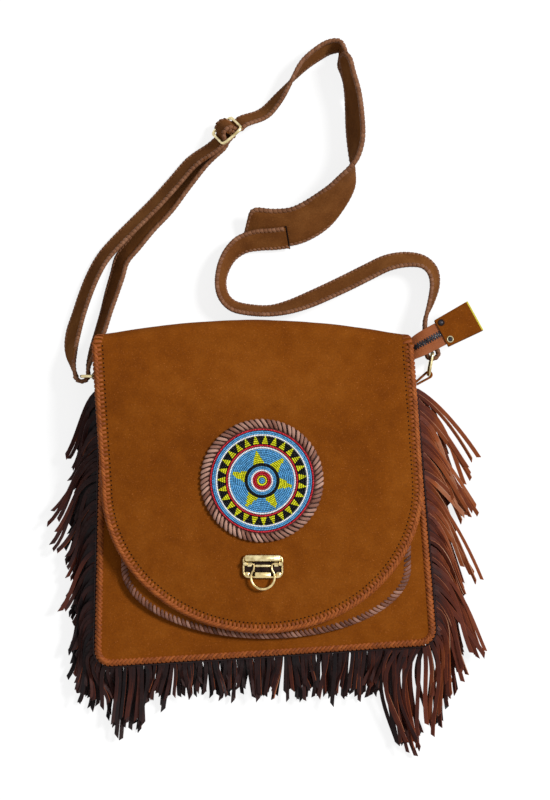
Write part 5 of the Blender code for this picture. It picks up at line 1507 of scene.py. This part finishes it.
# Where a bunch of strips starts and where its tips lie, down the left, along the bottom and up the right
BUNCHES = (
    ((-0.151, 0.083), (-0.181, 0.029)), ((-0.153, 0.058), (-0.176, 0.005)),
    ((-0.153, 0.033), (-0.192, -0.031)), ((-0.153, 0.011), (-0.195, -0.05)),
    ((-0.153, -0.004), (-0.188, -0.064)), ((-0.153, -0.019), (-0.182, -0.083)),
    ((-0.153, -0.052), (-0.18, -0.111)), ((-0.153, -0.083), (-0.175, -0.143)),
    ((-0.152, -0.11), (-0.173, -0.172)), ((-0.15, -0.135), (-0.156, -0.186)),
    ((-0.143, -0.15), (-0.141, -0.189)), ((-0.126, -0.153), (-0.132, -0.216)),
    ((-0.117, -0.153), (-0.121, -0.213)), ((-0.095, -0.153), (-0.1, -0.185)),
    ((-0.07, -0.153), (-0.07, -0.184)), ((-0.035, -0.153), (-0.033, -0.185)),
    ((0.000, -0.152), (-0.001, -0.188)), ((0.035, -0.152), (0.036, -0.187)),
    ((0.066, -0.15), (0.064, -0.187)), ((0.092, -0.149), (0.088, -0.188)), ((0.104, -0.148), (0.095, -0.187)),
    ((0.122, -0.146), (0.129, -0.236)), ((0.137, -0.144), (0.14, -0.239)), ((0.146, -0.14), (0.146, -0.215)),
    ((0.151, -0.128), (0.153, -0.193)), ((0.151, -0.112), (0.166, -0.184)), ((0.15, -0.098), (0.182, -0.168)),
    ((0.149, -0.08), (0.194, -0.15)), ((0.147, -0.03), (0.18, -0.098)), ((0.145, -0.008), (0.19, -0.08)),
    ((0.144, 0.022), (0.176, -0.022)), ((0.143, 0.048), (0.189, -0.018)), ((0.142, 0.06), (0.173, -0.006)),
    ((0.14, 0.08), (0.185, 0.012)), ((0.14, 0.094), (0.191, 0.034)),
)
STRIP_SECTION = ((1, 1), (0.66, 1), (-0.8, 1), (-1, 1), (-1, -1), (0.66, -1), (1, -1))
STRIP_HALF = 0.00055
DOWN = Vector((0.0, -1.0, 0.0))
# How light the strips of each layer are, from the top one to the lowest. This is painted shade: the left side
# and the lower layers darker, the right side lighter, as the light falls from the upper right
FRINGE_SHADES = {
    "fringe_left": (0.3, 0.11, 0.06),
    "fringe_bottom": (0.24, 0.15, 0.08),
    "fringe_right": (0.75, 0.57, 0.34),
}


def strip(build, start, ahead, tip, leave, arrive, width, height, roll, shade):
    """One flat strip of fringe, out of the seam and down to the ground, cut aslant at its tip."""
    steps = 11
    first, last = at(start, 0.0), at(tip, 0.0)
    run = last - first
    reach = run.length
    second, third = first + leave * reach, last - arrive * reach
    places = []
    for k in range(steps + 1):
        t = k / steps
        spot = first * (1 - t) ** 3 + second * (3 * t * (1 - t) ** 2)
        spot += third * (3 * t * t * (1 - t)) + last * t ** 3
        spot.z = max(0.0017, lerp(start.z, height, eased(t / 0.62)))
        places.append(spot)
    level = left_of(run).normalized()
    level *= 1 if level.dot(ahead) > 0 else -1
    # Some strips get a much paler cut edge, partly the paler flesh of the hide and partly a painted highlight
    pale_lit_edge = RANDOM.random() < 0.22
    cut = width * RANDOM.choice((-1.1, -0.6, 0.6, 1.1))
    rings, tones = [], []
    for k, (place, along) in enumerate(zip(places, tangents(places))):
        t = k / steps
        across = ahead.lerp(level, eased(t / 0.35))
        across = (across - along * across.dot(along)).normalized()
        through = across.cross(along)
        tilt = roll * (0.35 + 0.65 * t)
        flat = across * cos(tilt) + through * sin(tilt)
        through = through * cos(tilt) - across * sin(tilt)
        slant = cut if k == steps else 0.0
        rings.append([
            place + flat * (a * width) + through * (b * STRIP_HALF) + along * (a * slant)
            for a, b in STRIP_SECTION
        ])
        # Painted shade and highlight: each strip darkens towards its root in the seam, its lower face and one
        # top corner are darker, and its other cut edge is paler, partly the hide's paler flesh and partly a
        # painted highlight
        here = shade * lerp(0.62, 1.0, eased(t / 0.4))
        edge = min(1.0, here + (0.5 if pale_lit_edge else 0.12))
        tones.append([edge, here, here, here - 0.06, here - 0.1, here - 0.1, edge - 0.05])
    build.rings(rings, tones)


def nearest_bunch(place):
    return min(BUNCHES, key=lambda bunch: (place.x - bunch[0][0]) ** 2 + (place.y - bunch[0][1]) ** 2)


def make_fringe():
    """Layers of strips cut from a band in the seam. Each hangs lower and hugs the bag more than the last."""
    line = outward(body_edge(50), FRINGE_STAND_OFF)
    builds = {name: Build(name + "_strips") for name in FRINGE_SHADES}
    bands = {name: [] for name in builds}
    places = evenly(line, FRINGE_PITCH)
    for layer in range(3):
        for k, (place, ahead) in enumerate(places):
            if place.y > FRINGE_TOP:
                continue
            side = "fringe_left" if k < len(places) / 2 else "fringe_right"
            name = "fringe_bottom" if abs(ahead.x) > 0.9 else side
            out = -left_of(ahead)
            if layer == 0:
                bands[name].append(place + UP * (SEAM_HEIGHT - 0.005))
            start = place + ahead * RANDOM.uniform(-0.001, 0.001) + out * 0.0004 * (2 - layer)
            start.z = SEAM_HEIGHT - 0.004 - 0.005 * layer
            tip, shade = fringe_tip(name, layer, start, out)
            run = (tip - start).normalized()
            leave = out * RANDOM.uniform(0.18, 0.34) + DOWN * RANDOM.uniform(0.05, 0.16)
            sweep = out if side == "fringe_left" else DOWN
            arrive = (run + sweep * RANDOM.uniform(0.0, 0.45)).normalized() * 0.34
            if name == "fringe_bottom":
                leave, arrive = out * 0.3 + ahead * RANDOM.gauss(0.0, 0.04), run * 0.34
                if start.x > CORNER_BUNCH_START:
                    bow = RANDOM.uniform(0.04, 0.38)
                    leave -= ahead * bow
                    arrive += ahead * bow * 0.4
            if name == "fringe_right":
                leave = out * RANDOM.uniform(0.16, 0.3) + DOWN * RANDOM.uniform(0.1, 0.22)
            height = RANDOM.uniform(0.002, 0.006) + 0.006 * (2 - layer)
            roll = radians(RANDOM.gauss(14, 16)) * (1 if side == "fringe_left" else -1)
            width = RANDOM.uniform(0.0014, 0.002)
            strip(builds[name], start, ahead, tip, leave, arrive, width, height, roll, shade)
    for name, build in builds.items():
        build.ribbon(bands[name], UP, *FRINGE_BAND, tone=FRINGE_BAND_TONE)
        build.finish("fringe", "bag", [name], 35)


def fringe_tip(name, layer, start, out):
    """Where a strip ends and how light it is, in painted shade. The top layer is in bunches, the low one
    hangs straight.
    """
    (near_x, near_y), (tip_x, tip_y) = nearest_bunch(start)
    own = start + Vector((tip_x - near_x, tip_y - near_y, 0.0)) * RANDOM.uniform(0.72, 1.0)
    gather = RANDOM.uniform(0.45, 0.95) if layer == 0 else RANDOM.uniform(0.15, 0.6)
    if name == "fringe_bottom":
        gather *= 0.35
    tip = own.lerp(Vector((tip_x, tip_y, 0.0)), gather)
    spread = Vector((RANDOM.gauss(0.0, 0.003), RANDOM.gauss(0.0, 0.004), 0.0))
    hang = start + DOWN * (tip - start).length * RANDOM.uniform(0.8, 1.05)
    hang += out * RANDOM.uniform(0.008, 0.02)
    hug = (0.0, 0.6, 0.95)[layer] * RANDOM.uniform(0.75, 1.1)
    if name == "fringe_bottom":
        hug *= 0.3
    if name == "fringe_left" and layer == 0 and RANDOM.random() < 0.45:
        hug = RANDOM.uniform(0.5, 1.0)
    tip = tip.lerp(hang, min(1.0, hug)) + spread
    # Painted shade: on the left, strips that hug the bag are darker still; the bottom strips lighten only
    # towards the right corner; the right side darkens lower down
    shade = FRINGE_SHADES[name][layer]
    if name == "fringe_left":
        shade -= 0.18 * hug if layer == 0 else 0.0
        return tip, max(0.02, RANDOM.gauss(shade, 0.05))
    if name == "fringe_bottom":
        return tip, max(0.02, RANDOM.gauss(shade + 0.22 * eased((start.x - 0.09) / 0.05), 0.07))
    return tip, max(0.05, RANDOM.gauss(shade - 0.22 * eased((0.03 - start.y) / 0.15), 0.07))


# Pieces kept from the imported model

def dress_kept_nodes():
    looks = {"brass": ("clasp_back_plate", "clasp_catch"), "black_metal": ("zip_slider", "zip_pull")}
    for look, names in looks.items():
        for name in names:
            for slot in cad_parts[name].material_slots:
                slot.material = MATERIALS[look]


# Floor, light and camera

def seen_directly(tree):
    """1 for what the camera, a reflection or a glass bead sees, and 0 for light that falls on the object."""
    path = tree.nodes.new("ShaderNodeLightPath")
    last = path.outputs["Is Camera Ray"]
    for name in ("Is Glossy Ray", "Is Transmission Ray"):
        both = tree.nodes.new("ShaderNodeMath")
        both.operation = "MAXIMUM"
        tree.links.new(last, both.inputs[0])
        tree.links.new(path.outputs[name], both.inputs[1])
        last = both.outputs[0]
    return last


def make_floor():
    bpy.ops.mesh.primitive_plane_add(size=12, location=(0, 0, -0.0002))
    floor = bpy.context.object
    floor.name = "studio_floor"
    look = Look("white_floor")
    look.set(
        Base_Color=(FLOOR_GREY, FLOOR_GREY, FLOOR_GREY, 1.0), Roughness=0.9, Specular_IOR_Level=0.0,
        Emission_Color=(1.0, 1.0, 1.0, 1.0),
    )
    glow = look.math("MULTIPLY", seen_directly(look.tree), FLOOR_GLOW)
    look.link(glow, look.shader.inputs["Emission Strength"])
    floor.data.materials.append(look.material)


def make_light():
    world = bpy.data.worlds.new("studio")
    world.use_nodes = True
    bpy.context.scene.world = world
    tree = world.node_tree
    background = tree.nodes["Background"]
    background.inputs["Color"].default_value = (1, 1, 1, 1)
    strength = tree.nodes.new("ShaderNodeMapRange")
    strength.inputs["To Min"].default_value = SKY_ON_THE_BAG
    strength.inputs["To Max"].default_value = 1.0
    tree.links.new(seen_directly(tree), strength.inputs["Value"])
    tree.links.new(strength.outputs["Result"], background.inputs["Strength"])
    sun = bpy.data.lights.new("key", "SUN")
    sun.energy = SUN_STRENGTH
    sun.angle = radians(SUN_SOFTNESS)
    key = bpy.data.objects.new("key", sun)
    key.rotation_euler = Vector(SUN_FROM).to_track_quat("Z", "Y").to_euler()
    bpy.context.scene.collection.objects.link(key)


def make_camera():
    lens = bpy.data.cameras.new("camera")
    lens.lens = CAMERA_LENS
    lens.sensor_width = 36
    lens.clip_end = 50
    camera = bpy.data.objects.new("camera", lens)
    camera.location = CAMERA_PLACE
    bpy.context.scene.collection.objects.link(camera)
    bpy.context.scene.camera = camera
    bpy.context.scene.view_settings.view_transform = "Standard"


make_floor()
make_light()
make_camera()
make_panels()
make_pocket()
make_body_lacing()
make_flap()
make_flap_lacing()
make_medallion()
make_clasp()
make_straps()
make_hardware()
make_zip()
make_fringe()
dress_kept_nodes()
